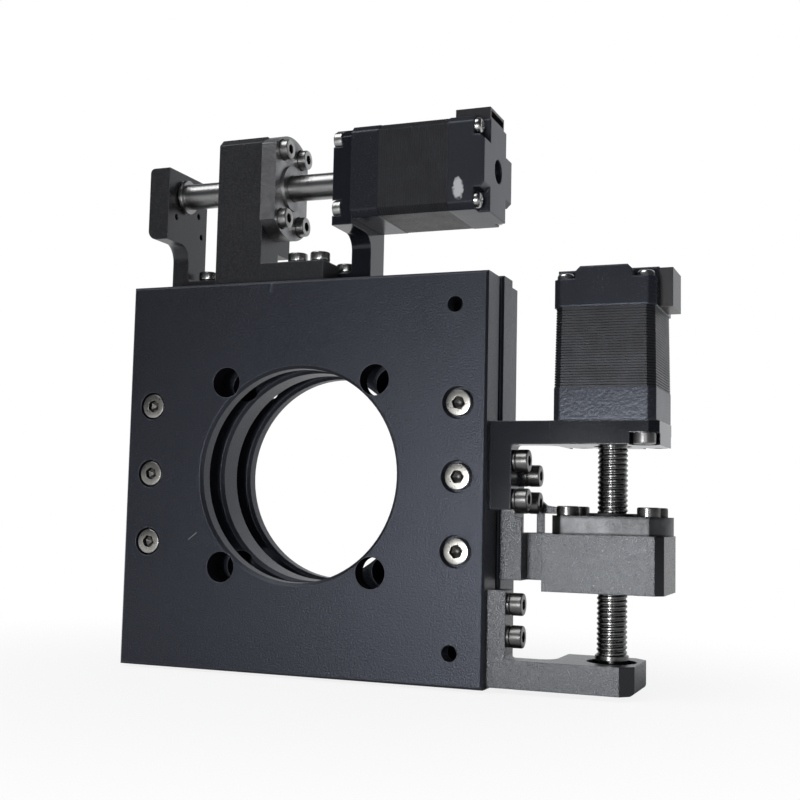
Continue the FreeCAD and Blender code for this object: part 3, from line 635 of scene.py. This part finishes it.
CAGE = Steel("cage_brass", "cage_brass", colour=(0.55, 0.42, 0.2), roughness=0.3)
STAINLESS = Steel("screw_stainless", "stainless", colour=(0.50, 0.49, 0.455), roughness=0.3, streak=0.1)
HEAD = Steel("screw_grey", "stainless", colour=(0.19, 0.19, 0.187), roughness=0.34, streak=0.1)
WASHER = Steel("washer_spring", "stainless", colour=(0.16, 0.16, 0.158), roughness=0.36)
NUT_SCREW = Steel("screw_dark", "stainless", colour=(0.15, 0.15, 0.148), roughness=0.3)
FLANGE_SCREW = Steel("screw_pale", "stainless", colour=(0.40, 0.40, 0.395), roughness=0.34, streak=0.08)
PAN = Steel("screw_bright", "stainless", colour=(0.55, 0.55, 0.54), roughness=0.24, streak=0.06)
# Z nut: the dark colour over a wide 0.9 mm edge rounding is painted shade on the flange's rim
Z_NUT = Steel("nut_ground", "nut_steel", colour=(0.105, 0.107, 0.111), roughness=0.46, grain=2600.0,
              depth=0.02 * MM, edge_radius=0.9 * MM, edge=(0.012, 0.012, 0.013))
X_NUT = Steel("nut_upper", "nut_steel", colour=(0.32, 0.32, 0.325), roughness=0.4, grain=2600.0,
              depth=0.01 * MM)
SOCKET = Steel("socket_dark", "stainless", colour=(0.09, 0.088, 0.085), roughness=0.4, streak=0.05)
THREAD = Steel("thread_rolled", "screw_steel", colour=(0.20, 0.20, 0.198), roughness=0.24)
SHAFT = Steel("shaft_ground", "screw_steel", colour=(0.30, 0.30, 0.30), roughness=0.3, streak=0.02,
              stain=0.06, depth=0.0004 * MM)
ROTOR = Steel("rotor_core", "rotor_steel", colour=(0.2, 0.2, 0.2), roughness=0.4)
CAP = Enamel("motor_cap_black", "motor_black", roughness=0.25)
# Z front cap: heavy pale dust lifts the whole cap's tone, partly dust specks and partly painted light
CAP_LIT = Enamel("motor_cap_dusty_lit", "motor_black", roughness=0.31, ripple=0.04 * MM, ripples=1500.0,
                 dust=0.5)
CAP_RUBBED = Enamel("motor_cap_rubbed", "motor_black", roughness=0.34,
                    rubbed=Rubbed((33.4 * MM, 5.2 * MM, 60.8 * MM)))
STACK = Steel("stack_laminated", "stack_steel", colour=(0.030, 0.031, 0.035), roughness=0.42, metallic=0.6)
X_HEADER = Header("header_upper", "connector_plastic", low=(33.1 * MM, 10.4 * MM, 77.35 * MM),
                  high=(40.0 * MM, 19.0 * MM, 78.55 * MM))
Z_HEADER = Header("header_side", "connector_plastic", low=(76.15 * MM, 6.3 * MM, 35.9 * MM),
                  high=(77.35 * MM, 14.9 * MM, 43.0 * MM))
X_BEARING = SealedBearing("bearing_upper", "bearing_steel", centre=(0.0, 15.3 * MM, 66.5 * MM),
                          seal=(2.65 * MM, 3.35 * MM), along_x=True)
Z_BEARING = SealedBearing("bearing_side", "bearing_steel", centre=(65.3 * MM, 11.2 * MM, 0.0),
                          seal=(2.6 * MM, 4.3 * MM))


def piece(node: str, bm: bmesh.types.BMesh, body: str, finish: Finish, angle: float,
          second: Optional[Finish] = None) -> None:
    """Makes one piece that stands for a node.

    Args:
        node: the node.
        bm: the piece's shape, which is freed.
        body: the body that it rides on.
        finish: its finish.
        angle: edges sharper than this stay sharp, in degrees.
        second: finish of the faces whose material index is 1.
    """
    name = node + "_detail"
    mesh = bpy.data.meshes.new(name)
    bm.to_mesh(mesh)
    bm.free()
    mesh.shade_smooth()
    mesh.set_sharp_from_angle(angle=math.radians(angle))
    for each in (finish, second):
        if each:
            mesh.materials.append(each.material())
    thing = placed(name, mesh)
    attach(thing, body)
    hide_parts(node)
    LOG.info("%s: %d faces on %s", name, len(mesh.polygons), body)


def placed(name: str, data: bpy.types.ID, matrix: Optional[Matrix] = None) -> bpy.types.Object:
    """Puts an object into the scene.

    Args:
        name: its name.
        data: its mesh, lamp or camera.
        matrix: where it stands, if not at the origin.

    Returns:
        The object.
    """
    thing = bpy.data.objects.new(name, data)
    bpy.context.scene.collection.objects.link(thing)
    if matrix:
        thing.matrix_world = matrix
    return thing


def turned(profile: Profile, steps: int = 48) -> bmesh.types.BMesh:
    """Turns a profile round the local Z axis.

    Args:
        profile: (radius, height) pairs in metres, from the axis to the axis.
        steps: steps of a full turn.

    Returns:
        The closed shape.
    """
    bm = bmesh.new()
    verts = [bm.verts.new((radius, 0.0, height)) for radius, height in profile]
    edges = [bm.edges.new(pair) for pair in zip(verts, verts[1:])]
    bmesh.ops.spin(bm, geom=verts + edges, cent=(0, 0, 0), axis=(0, 0, 1), dvec=(0, 0, 0), angle=math.tau,
                   steps=steps, use_merge=True, use_duplicate=False)
    bmesh.ops.remove_doubles(bm, verts=bm.verts, dist=1e-7)
    bmesh.ops.recalc_face_normals(bm, faces=bm.faces)
    return bm


def merge(target: bmesh.types.BMesh, source: bmesh.types.BMesh, matrix: Matrix) -> None:
    """Moves one shape into another.

    Args:
        target: shape that grows.
        source: shape that is added, which is freed.
        matrix: where it goes.
    """
    mesh = bpy.data.meshes.new("part")
    source.to_mesh(mesh)
    source.free()
    mesh.transform(matrix)
    target.from_mesh(mesh)
    bpy.data.meshes.remove(mesh)


def solids_of(node: str) -> list[tuple[Vector, Vector]]:
    """Boxes of the separate solids of a node.

    Args:
        node: name of the node.

    Returns:
        The lowest and highest corner of each solid, in a fixed order.
    """
    bm = bmesh.new()
    bm.from_mesh(bpy.data.objects[node].data)
    bmesh.ops.remove_doubles(bm, verts=bm.verts, dist=JOINED)
    left = set(bm.verts)
    boxes = []
    while left:
        wave = {left.pop()}
        island = set(wave)
        while wave:
            near = {edge.other_vert(v) for v in wave for edge in v.link_edges}
            wave = near & left
            left -= wave
            island |= wave
        places = [v.co for v in island]
        boxes.append((Vector([min(p[k] for p in places) for k in range(3)]),
                      Vector([max(p[k] for p in places) for k in range(3)])))
    bm.free()
    return sorted(boxes, key=lambda box: tuple(box[0]))


def aimed(at: Vector, along: Vector, turn: float = 0.0) -> Matrix:
    """Places a turned shape with its local Z along a direction.

    Args:
        at: the local origin.
        along: the direction.
        turn: turn about that direction, in radians.

    Returns:
        The matrix.
    """
    way = along.to_track_quat("Z", "Y").to_matrix().to_4x4()
    return Matrix.Translation(at) @ way @ Matrix.Rotation(turn, 4, "Z")


class Facing(Enum):
    """Direction in which a piece looks."""

    LEFT = (-1, 0, 0)
    RIGHT = (1, 0, 0)
    FRONT = (0, -1, 0)
    BACK = (0, 1, 0)
    DOWN = (0, 0, -1)
    UP = (0, 0, 1)

    def vector(self) -> Vector:
        """The direction as a vector."""
        return Vector(self.value)

    def opposite(self) -> "Facing":
        """The other way."""
        return Facing(tuple(-part for part in self.value))

    def end(self, low: Vector, high: Vector) -> Vector:
        """Middle of the side of a box that looks this way.

        Args:
            low: lowest corner.
            high: highest corner.

        Returns:
            The point.
        """
        return (low + high) / 2 + self.vector() * (high - low) / 2


@dataclass
class Fasteners:
    """Small parts of one kind, one for each solid of a node."""

    node: str
    body: str
    facing: Facing

    def gather(self, shape: Callable[[float], bmesh.types.BMesh], turns: Span, drop: float = 0.0,
               from_foot: bool = False) -> bmesh.types.BMesh:
        """Places one part on each solid.

        Args:
            shape: makes a part of a given length.
            turns: turn of the first part and from each to the next, in radians.
            drop: how far its head lies below the solid's.
            from_foot: whether the part's origin is at its foot and not on its head.

        Returns:
            All the parts.
        """
        whole = bmesh.new()
        way = self.facing.vector()
        first, step = turns
        for index, (low, high) in enumerate(solids_of(self.node)):
            side = self.facing.opposite() if from_foot else self.facing
            start = side.end(low, high) - way * drop
            length = abs((high - low).dot(way)) - drop
            merge(whole, shape(length), aimed(start, way, first + index * step))
        return whole


@dataclass(frozen=True)
class SocketHead:
    """Sizes of a socket head screw.

    The cone is the socket's bottom, in shares of the key and of the head's height. The crown and the heel
    are the head's rounded edges: how far each point lies in from its side, and how far below its top or
    above its seat.
    """

    radius: float
    height: float
    shank_r: float
    key: float
    ridges: int = 36
    knurl: float = 0.064 * MM
    drop: float = 0.0
    rim: float = 0.08 * MM
    cone: Profile = ((0.0, 0.9), (0.55, 0.75), (1.0, 0.6))
    crown: Profile = ((0.34 * MM, 0.0), (0.14 * MM, 0.05 * MM), (0.03 * MM, 0.20 * MM), (0.0, 0.42 * MM))
    heel: Profile = ((0.0, 0.34 * MM), (0.05 * MM, 0.16 * MM), (0.18 * MM, 0.0))

    def profile(self, length: float) -> Profile:
        """Half section of the screw.

        Args:
            length: whole length of the screw.

        Returns:
            Its points from the bottom of the socket to the end of the shank.
        """
        r, h, k, s = self.radius, self.height, self.key, self.shank_r
        cone = [(k * out, -h * down) for out, down in self.cone]
        rim = [(k, -self.rim), (k + self.rim, 0.0)]
        crown = [(r - inward, -down) for inward, down in self.crown]
        heel = [(r - inward, up - h) for inward, up in self.heel]
        shank = [(s, -h), (s, BROKEN_EDGE - length), (s - BROKEN_EDGE, -length), (0.0, -length)]
        return cone + rim + crown + heel + shank


M25_HEAD = SocketHead(radius=2.25 * MM, height=2.5 * MM, shank_r=1.23 * MM, key=1.05 * MM)
M25_LOW_HEAD = SocketHead(radius=2.25 * MM, height=2.05 * MM, shank_r=1.23 * MM, key=1.05 * MM, knurl=0.0,
                          drop=0.45 * MM)
M3_LOW_HEAD = SocketHead(radius=2.7 * MM, height=2.0 * MM, shank_r=1.48 * MM, key=1.3 * MM, ridges=40)
M2_HEAD = SocketHead(radius=1.9 * MM, height=2.0 * MM, shank_r=0.98 * MM, key=0.8 * MM)
M2_WIDE_HEAD = SocketHead(radius=2.25 * MM, height=2.2 * MM, shank_r=0.98 * MM, key=0.8 * MM)


@dataclass
class CapScrews(Fasteners):
    """Socket head screws with a knurled rim."""

    finish: Finish
    size: SocketHead
    turns: Span = (0.35, 0.83)
    corner: float = 1.06
    dark_within: float = 1.04

    def screw(self, length: float) -> bmesh.types.BMesh:
        """Shape of one screw with the top of its head at the local origin.

        Args:
            length: whole length of the screw.

        Returns:
            The shape, whose socket has material index 1.
        """
        size = self.size
        steps = size.ridges * 2
        sixth = math.pi / 6
        bm = turned(size.profile(length), steps)
        for v in bm.verts:
            radius = math.hypot(v.co.x, v.co.y)
            angle = math.atan2(v.co.y, v.co.x)
            if JOINED < radius < size.key + size.rim + JOINED and v.co.z > -size.height:
                inside = (angle + sixth) % (2 * sixth) - sixth
                v.co.xy = v.co.xy * (math.cos(sixth) / math.cos(inside)) * self.corner
            elif radius > size.radius - JOINED and round(angle * steps / math.tau) % 2:
                v.co.xy = v.co.xy * (1 - size.knurl / size.radius)
        for face in bm.faces:
            middle = face.calc_center_median()
            away = math.hypot(middle.x, middle.y)
            face.material_index = int(away < size.key * self.dark_within and middle.z > -size.height)
        return bm

    def build(self) -> None:
        """Builds the screws."""
        whole = self.gather(self.screw, self.turns, self.size.drop)
        piece(self.node, whole, self.body, self.finish, 28.0, SOCKET)


@dataclass
class SpringWashers(Fasteners):
    """Split spring washers."""

    inner_r: float = 1.35 * MM
    outer_r: float = 2.2 * MM
    chamfer: Span = (0.06 * MM, 0.08 * MM)
    wire: float = 0.86
    arc: float = 350.0
    steps: int = 44
    turns: Span = (1.1, 1.9)

    def ring(self, thickness: float) -> bmesh.types.BMesh:
        """One split ring, standing on the local origin.

        Args:
            thickness: height of the ring.

        Returns:
            The shape.
        """
        bm = bmesh.new()
        inward, up = self.chamfer
        top = thickness * self.wire
        section = [(self.inner_r, 0.0), (self.outer_r - inward, 0.0), (self.outer_r, up),
                   (self.outer_r, top - up), (self.outer_r - inward, top), (self.inner_r, top)]
        face = bm.faces.new([bm.verts.new((radius, 0.0, height)) for radius, height in section])
        bmesh.ops.spin(bm, geom=[face], cent=(0, 0, 0), axis=(0, 0, 1),
                       dvec=(0, 0, (thickness - top) / self.steps), angle=math.radians(self.arc),
                       steps=self.steps, use_merge=False, use_duplicate=False)
        bmesh.ops.recalc_face_normals(bm, faces=bm.faces)
        return bm

    def build(self) -> None:
        """Builds the washers."""
        whole = self.gather(self.ring, self.turns, from_foot=True)
        piece(self.node, whole, self.body, WASHER, 25.0)


@dataclass
class PanScrews(Fasteners):
    """Pan head screws with a cross recess, at the corners of a motor.

    The dome's points are shares of the head's radius and depths below its top.
    """

    head_r: float = 1.75 * MM
    head_h: float = 1.5 * MM
    shank_r: float = 0.83 * MM
    heel: float = 0.08 * MM
    dome: Profile = ((0.66, 0.02 * MM), (0.8, 0.10 * MM), (0.92, 0.30 * MM), (1.0, 0.62 * MM))
    flat_rings: int = 8
    cross_half: float = 0.24 * MM
    cross_reach: float = 1.0 * MM
    cross_depth: float = 0.75 * MM
    cross_slope: float = 0.6
    turns: Span = (0.4, 0.6)

    def screw(self, length: float) -> bmesh.types.BMesh:
        """Shape of one screw with the top of its head at the local origin.

        Args:
            length: whole length of the screw.

        Returns:
            The shape.
        """
        r, h, s = self.head_r, self.head_h, self.shank_r
        flat = [(r * ring / 12, 0.0) for ring in range(self.flat_rings)]
        dome = [(r * out, -down) for out, down in self.dome]
        rest = [(r, self.heel - h), (r - self.heel, -h), (s, -h), (s, -length), (0.0, -length)]
        bm = turned(flat + dome + rest)
        for v in bm.verts:
            radius = math.hypot(v.co.x, v.co.y)
            on_cross = min(abs(v.co.x), abs(v.co.y)) < self.cross_half and radius < self.cross_reach
            if v.co.z > -JOINED and on_cross:
                v.co.z -= self.cross_depth * (1 - self.cross_slope * radius / self.cross_reach)
        return bm

    def build(self) -> None:
        """Builds the screws."""
        piece(self.node, self.gather(self.screw, self.turns), self.body, PAN, 30.0)


@dataclass
class DriveScrew:
    """Rolled screw with its journal at one end and the motor shaft at the other.

    The groove's points are shares of its depth and of the pitch.
    """

    node: str
    body: str
    facing: Facing
    finish: Finish
    thread_start: float
    thread_end: float
    collar_r: float
    collar_t: float
    depth: float
    radius: float = 3.0 * MM
    journal_r: float = 1.98 * MM
    shaft_r: float = 2.5 * MM
    pitch: float = 1.0 * MM
    steps: int = 28
    groove: Profile = ((0.0, 0.0), (0.0, 0.30), (0.35, 0.38), (0.85, 0.50), (1.0, 0.65), (0.85, 0.80),
                       (0.35, 0.92), (0.0, 1.0))

    def thread(self, length: float) -> bmesh.types.BMesh:
        """Helix with rounded grooves, from the local origin upwards.

        Args:
            length: length of the thread.

        Returns:
            The shape, closed at both ends.
        """
        turns = int(length / self.pitch) + 2
        bm = bmesh.new()
        verts = [bm.verts.new((self.radius - deep * self.depth, 0.0, (up - 1) * self.pitch))
                 for deep, up in self.groove]
        edges = [bm.edges.new(pair) for pair in zip(verts, verts[1:])]
        bmesh.ops.spin(bm, geom=verts + edges, cent=(0, 0, 0), axis=(0, 0, 1),
                       dvec=(0, 0, self.pitch / self.steps), angle=math.tau * turns,
                       steps=self.steps * turns, use_merge=False, use_duplicate=False)
        bmesh.ops.remove_doubles(bm, verts=bm.verts, dist=2 * JOINED)
        for level, way in ((0.0, -1), (length, 1)):
            everything = bm.verts[:] + bm.edges[:] + bm.faces[:]
            cut = bmesh.ops.bisect_plane(bm, geom=everything, dist=1e-7, plane_co=(0, 0, level),
                                         plane_no=(0, 0, way), clear_outer=True)
            rim = [e for e in cut["geom_cut"] if isinstance(e, bmesh.types.BMEdge) and e.is_boundary]
            bmesh.ops.contextual_create(bm, geom=rim)
        bmesh.ops.recalc_face_normals(bm, faces=bm.faces)
        return bm

    def rod(self, radius: float, length: float) -> bmesh.types.BMesh:
        """Round length with broken edges, from the local origin upwards.

        Args:
            radius: its radius.
            length: its length.

        Returns:
            The shape.
        """
        edge = BROKEN_EDGE
        return turned([(0.0, 0.0), (radius - edge, 0.0), (radius, edge), (radius, length - edge),
                       (radius - edge, length), (0.0, length)], 40)

    def build(self) -> None:
        """Builds the thread, the journal, the collar and the motor's shaft."""
        low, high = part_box(self.node)
        way = self.facing.vector()
        start = self.facing.opposite().end(low, high)
        first = start.dot(way)
        last = self.facing.end(low, high).dot(way)
        whole = bmesh.new()
        thread = self.thread(self.thread_end - self.thread_start)
        merge(whole, thread, aimed(start + way * (self.thread_start - first), way))
        ends = [(first, self.thread_start + BROKEN_EDGE, self.journal_r),
                (self.thread_start, self.thread_start + self.collar_t, self.collar_r),
                (self.thread_end - BROKEN_EDGE, last, self.shaft_r)]
        for begin, stop, radius in ends:
            merge(whole, self.rod(radius, stop - begin), aimed(start + way * (begin - first), way))
        piece(self.node, whole, self.body, self.finish, 40.0)


@dataclass
class LaminatedStack:
    """Motor core of thin plates with their corners cut off."""

    node: str
    body: str
    facing: Facing
    notch: float
    sheets: int = 30
    corner: float = 1.5 * MM
    flat_share: float = 0.72
    wall_share: float = 0.06
    floor_share: float = 0.16

    def build(self) -> None:
        """Builds the core as one closed prism with a groove at each joint."""
        low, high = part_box(self.node)
        way = self.facing.vector()
        half = (high.y - low.y) / 2
        pitch = abs((high - low).dot(way)) / self.sheets
        bm = bmesh.new()
        bmesh.ops.create_grid(bm, x_segments=1, y_segments=1, size=half)
        bmesh.ops.bevel(bm, geom=bm.verts[:], offset=self.corner, affect="VERTICES", segments=1, profile=0.5,
                        material=-1)
        face = bm.faces[:][0]
        inward, outward = 1 - self.notch / half, 1 + self.notch / half
        sheet = [(self.flat_share, 1.0), (self.wall_share, inward), (self.floor_share, 1.0),
                 (self.wall_share, outward)]
        for share, factor in sheet * (self.sheets - 1) + [(1.0, 1.0)]:
            grown = bmesh.ops.extrude_face_region(bm, geom=[face])["geom"]
            bmesh.ops.delete(bm, geom=[face], context="FACES_ONLY")
            moved = [part for part in grown if isinstance(part, bmesh.types.BMVert)]
            face = [part for part in grown if isinstance(part, bmesh.types.BMFace)][0]
            bmesh.ops.translate(bm, verts=moved, vec=(0, 0, pitch * share))
            bmesh.ops.scale(bm, verts=moved, vec=(factor, factor, 1))
        bmesh.ops.contextual_create(bm, geom=[edge for edge in bm.edges if edge.is_boundary])
        bmesh.ops.recalc_face_normals(bm, faces=bm.faces)
        whole = bmesh.new()
        merge(whole, bm, aimed(self.facing.opposite().end(low, high), way))
        piece(self.node, whole, self.body, STACK, 20.0)


@dataclass(frozen=True)
class DriveLooks:
    """Finishes of one drive."""

    bracket: Finish
    nut: Finish
    bearing: Finish
    screw: Finish
    foot_screws: Finish
    flange_screws: Finish
    front_cap: Finish
    rear_cap: Finish
    connector: Finish


UPPER_LOOKS = DriveLooks(BRACKET, X_NUT, X_BEARING, SHAFT, PAN, FLANGE_SCREW, CAP, CAP_RUBBED, X_HEADER)
SIDE_LOOKS = DriveLooks(COARSE, Z_NUT, Z_BEARING, THREAD, HEAD, NUT_SCREW, CAP_LIT, CAP, Z_HEADER)


@dataclass
class Drive:
    """One screw drive: brackets, bearing, nut, screw and motor."""

    name: str
    holder: str
    carrier: str
    shaft: str
    facing: Facing
    outward: Facing
    looks: DriveLooks
    foot_head: SocketHead
    mount_head: SocketHead
    thread_start: float
    thread_end: float
    thread_depth: float
    collar_r: float
    collar_t: float
    stack_notch: float

    def node(self, part: str) -> str:
        """Full name of a node of this drive."""
        return f"{self.name}_{part}"

    def build(self) -> None:
        """Builds what the drive shows in more detail than the plain solids."""
        looks = self.looks
        screws = [("bracket_screws", self.holder, self.outward, looks.foot_screws, self.foot_head),
                  ("nut_foot_screws", self.carrier, self.outward, looks.foot_screws, self.foot_head),
                  ("nut_flange_screws", self.carrier, self.facing, looks.flange_screws, M25_HEAD),
                  ("motor_mount_screws", self.holder, self.facing.opposite(), FLANGE_SCREW, self.mount_head)]
        for part, body, facing, finish, size in screws:
            CapScrews(self.node(part), body, facing, finish, size).build()
        SpringWashers(self.node("bracket_washers"), self.holder, self.outward).build()
        SpringWashers(self.node("nut_foot_washers"), self.carrier, self.outward).build()
        PanScrews(self.node("motor_body_screws"), self.holder, self.facing).build()
        DriveScrew(self.node("screw"), self.shaft, self.facing, looks.screw, self.thread_start,
                   self.thread_end, self.collar_r, self.collar_t, self.thread_depth).build()
        LaminatedStack(self.node("motor_stack"), self.holder, self.facing, self.stack_notch).build()

    def dress(self) -> dict[str, Finish]:
        """Finishes of the nodes that are shown as they are.

        Returns:
            A finish for each node.
        """
        looks = self.looks
        finishes = {"motor_bracket": SMOOTH, "bearing_bracket": looks.bracket, "nut_bracket": looks.bracket,
                    "ball_nut": looks.nut, "bearing": looks.bearing, "rotor": ROTOR,
                    "motor_front_cap": looks.front_cap, "motor_rear_cap": looks.rear_cap,
                    "motor_connector": looks.connector}
        return {self.node(part): finish for part, finish in finishes.items()}


@dataclass
class PlateStack:
    """The three plates with their rails, cages, rollers and rail screws."""

    rail_head: SocketHead = M3_LOW_HEAD

    def build(self) -> None:
        """Builds the visible rail screws of both faces."""
        CapScrews("front_rail_screws", "stage", Facing.FRONT, STAINLESS, self.rail_head).build()
        CapScrews("base_rail_screws", "base", Facing.BACK, STAINLESS, self.rail_head).build()

    def dress(self) -> dict[str, Finish]:
        """Finishes of the nodes that are shown as they are.

        Returns:
            A finish for each node.
        """
        groups = {PLATE: ("front_plate", "middle_plate", "base_plate"),
                  RAIL: ("front_rails", "middle_front_rails", "middle_back_rails", "base_rails"),
                  BEARING: ("x_rollers", "z_rollers"),
                  CAGE: ("x_roller_cages", "z_roller_cages"),
                  STAINLESS: ("middle_front_rail_screws", "middle_back_rail_screws")}
        return {node: finish for finish, nodes in groups.items() for node in nodes}


@dataclass(frozen=True)
class Lamp:
    """A soft rectangular lamp."""

    name: str
    at: Point
    to: Point
    size: Span
    power: float

    def build(self) -> None:
        """Hangs the lamp and points it."""
        data = bpy.data.lights.new(self.name, "AREA")
        data.shape = "RECTANGLE"
        data.size, data.size_y = self.size
        data.energy = self.power
        way = Vector(self.to) - Vector(self.at)
        turn = way.to_track_quat("-Z", "Y").to_matrix().to_4x4()
        placed(self.name, data, Matrix.Translation(Vector(self.at)) @ turn)


LAMPS = (Lamp("front_low", (0.022, -0.31, -0.029), (0.05, 0.0, -0.02), (0.07, 0.026), 0.55),
         Lamp("by_camera", (0.24, -0.42, 0.03), (0.05, 0.0, 0.01), (0.03, 0.10), 0.10),
         Lamp("top", (-0.25, -0.35, 0.75), (0.0, 0.0, 0.0), (0.6, 0.5), 4.0))


@dataclass
class Studio:
    """Camera, floor, backdrop and lamps."""

    floor_z: float
    eye: Point = (0.1156, -0.2351, -0.0071)
    right: Point = (0.9314, 0.3633, 0.0217)
    up: Point = (0.0125, -0.0915, 0.9957)
    behind: Point = (0.3637, -0.9272, -0.0897)
    lens: float = 55.353
    sensor: float = 36.0
    clip: Span = (0.01, 20.0)
    floor_half: float = 3.0
    floor_lit: float = 0.7
    shadow_reach: Span = (0.05, 0.17)
    shadow_white: float = 0.84
    mirrored: Span = (0.03, 0.10)
    mirrored_white: float = 0.7
    back_starts: Span = (0.5, 0.75)
    front_glow: Colour = (0.035, 0.037, 0.045)
    back_glow: Colour = (0.85, 0.86, 0.88)
    fill: Colour = (0.38, 0.385, 0.40)

    def camera(self) -> None:
        """Sets the camera where the photograph was taken."""
        data = bpy.data.cameras.new("camera")
        data.lens = self.lens
        data.sensor_width = self.sensor
        data.clip_start, data.clip_end = self.clip
        axes = Matrix((self.right, self.up, self.behind)).transposed().to_4x4()
        camera = placed("camera", data, Matrix.Translation(Vector(self.eye)) @ axes)
        bpy.context.scene.camera = camera

    def floor(self) -> None:
        """Adds a pale floor that keeps its shadow near the object and turns plain white further off."""
        name = "floor"
        bm = bmesh.new()
        bmesh.ops.create_grid(bm, x_segments=1, y_segments=1, size=self.floor_half)
        bmesh.ops.translate(bm, verts=bm.verts, vec=(0, 0, self.floor_z))
        mesh = bpy.data.meshes.new(name)
        bm.to_mesh(mesh)
        bm.free()
        material = bpy.data.materials.new(name)
        material.use_nodes = True
        self.floor_shader(Shader(material.node_tree))
        mesh.materials.append(material)
        placed(name, mesh)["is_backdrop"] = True

    def floor_shader(self, shader: Shader) -> None:
        """Fills the floor's material.

        Args:
            shader: the tree to fill.
        """
        place = shader.place()
        seen = shader.add("ShaderNodeLightPath", out="Is Camera Ray")
        glossy = shader.add("ShaderNodeLightPath", out="Is Glossy Ray")
        away = shader.add("ShaderNodeVectorMath", {"operation": "LENGTH"}, {0: place}, "Value")
        _, deep, _ = shader.axes(place)
        share = (seen * away.ramp(*self.shadow_reach, self.shadow_white)
                 + glossy * deep.ramp(*self.mirrored) * self.mirrored_white)
        diffuse = shader.add("ShaderNodeBsdfDiffuse", {}, {"Color": opaque(scaled(WHITE, self.floor_lit))})
        white = shader.add("ShaderNodeEmission", {}, {"Color": opaque(WHITE), "Strength": 1.0})
        both = shader.add("ShaderNodeMixShader", {}, {0: share, 1: diffuse, 2: white})
        shader.add("ShaderNodeOutputMaterial", {}, {"Surface": both})

    def backdrop(self) -> None:
        """White behind the object, dim in front of it."""
        room = bpy.data.worlds.new("room")
        room.use_nodes = True
        bpy.context.scene.world = room
        shader = Shader(room.node_tree)
        seen = shader.add("ShaderNodeLightPath", out="Is Camera Ray")
        glossy = shader.add("ShaderNodeLightPath", out="Is Glossy Ray")
        _, deep, _ = shader.axes(shader.add("ShaderNodeTexCoord", out="Generated"))
        mirror = shader.tint(deep.ramp(*self.back_starts), self.front_glow, self.back_glow)
        colour = shader.tint(seen, shader.tint(glossy, self.fill, mirror), WHITE)
        light = shader.add("ShaderNodeBackground", {}, {"Color": colour, "Strength": 1.0})
        shader.add("ShaderNodeOutputWorld", {}, {"Surface": light})

    def build(self) -> None:
        """Builds the studio."""
        self.camera()
        self.backdrop()
        self.floor()
        for lamp in LAMPS:
            lamp.build()
        bpy.context.scene.view_settings.view_transform = "Standard"


def numbers(box: Sequence[Vector]) -> list[list[float]]:
    """A box as plain numbers."""
    return [[float(value) for value in corner] for corner in box]


def main() -> None:
    """Builds the stage and its studio."""
    logging.basicConfig(level=logging.INFO, format="%(name)s %(message)s")
    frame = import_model()
    cad_box = numbers(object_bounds())
    upper = Drive("x", "base", "carriage", "x_screw_shaft", Facing.RIGHT, Facing.UP, UPPER_LOOKS,
                  M25_LOW_HEAD, M2_HEAD, thread_start=-38.65 * MM, thread_end=4.9 * MM,
                  thread_depth=0.006 * MM, collar_r=4.0 * MM, collar_t=1.0 * MM, stack_notch=0.05 * MM)
    side = Drive("z", "stage", "carriage", "z_screw_shaft", Facing.UP, Facing.RIGHT, SIDE_LOOKS,
                 M25_HEAD, M2_WIDE_HEAD, thread_start=-35.75 * MM, thread_end=7.7 * MM,
                 thread_depth=0.26 * MM, collar_r=3.35 * MM, collar_t=1.2 * MM, stack_notch=0.3 * MM)
    finishes: dict[str, Finish] = {}
    for part in (PlateStack(), upper, side):
        part.build()
        finishes.update(part.dress())
    for name, finish in finishes.items():
        for slot in frame["nodes"][name].material_slots:
            slot.material = finish.material()
        LOG.info("%s: %s", name, finish.name)
    Studio(floor_z=cad_box[0][2] - 0.05 * MM).build()


if __name__ == "__main__":
    main()
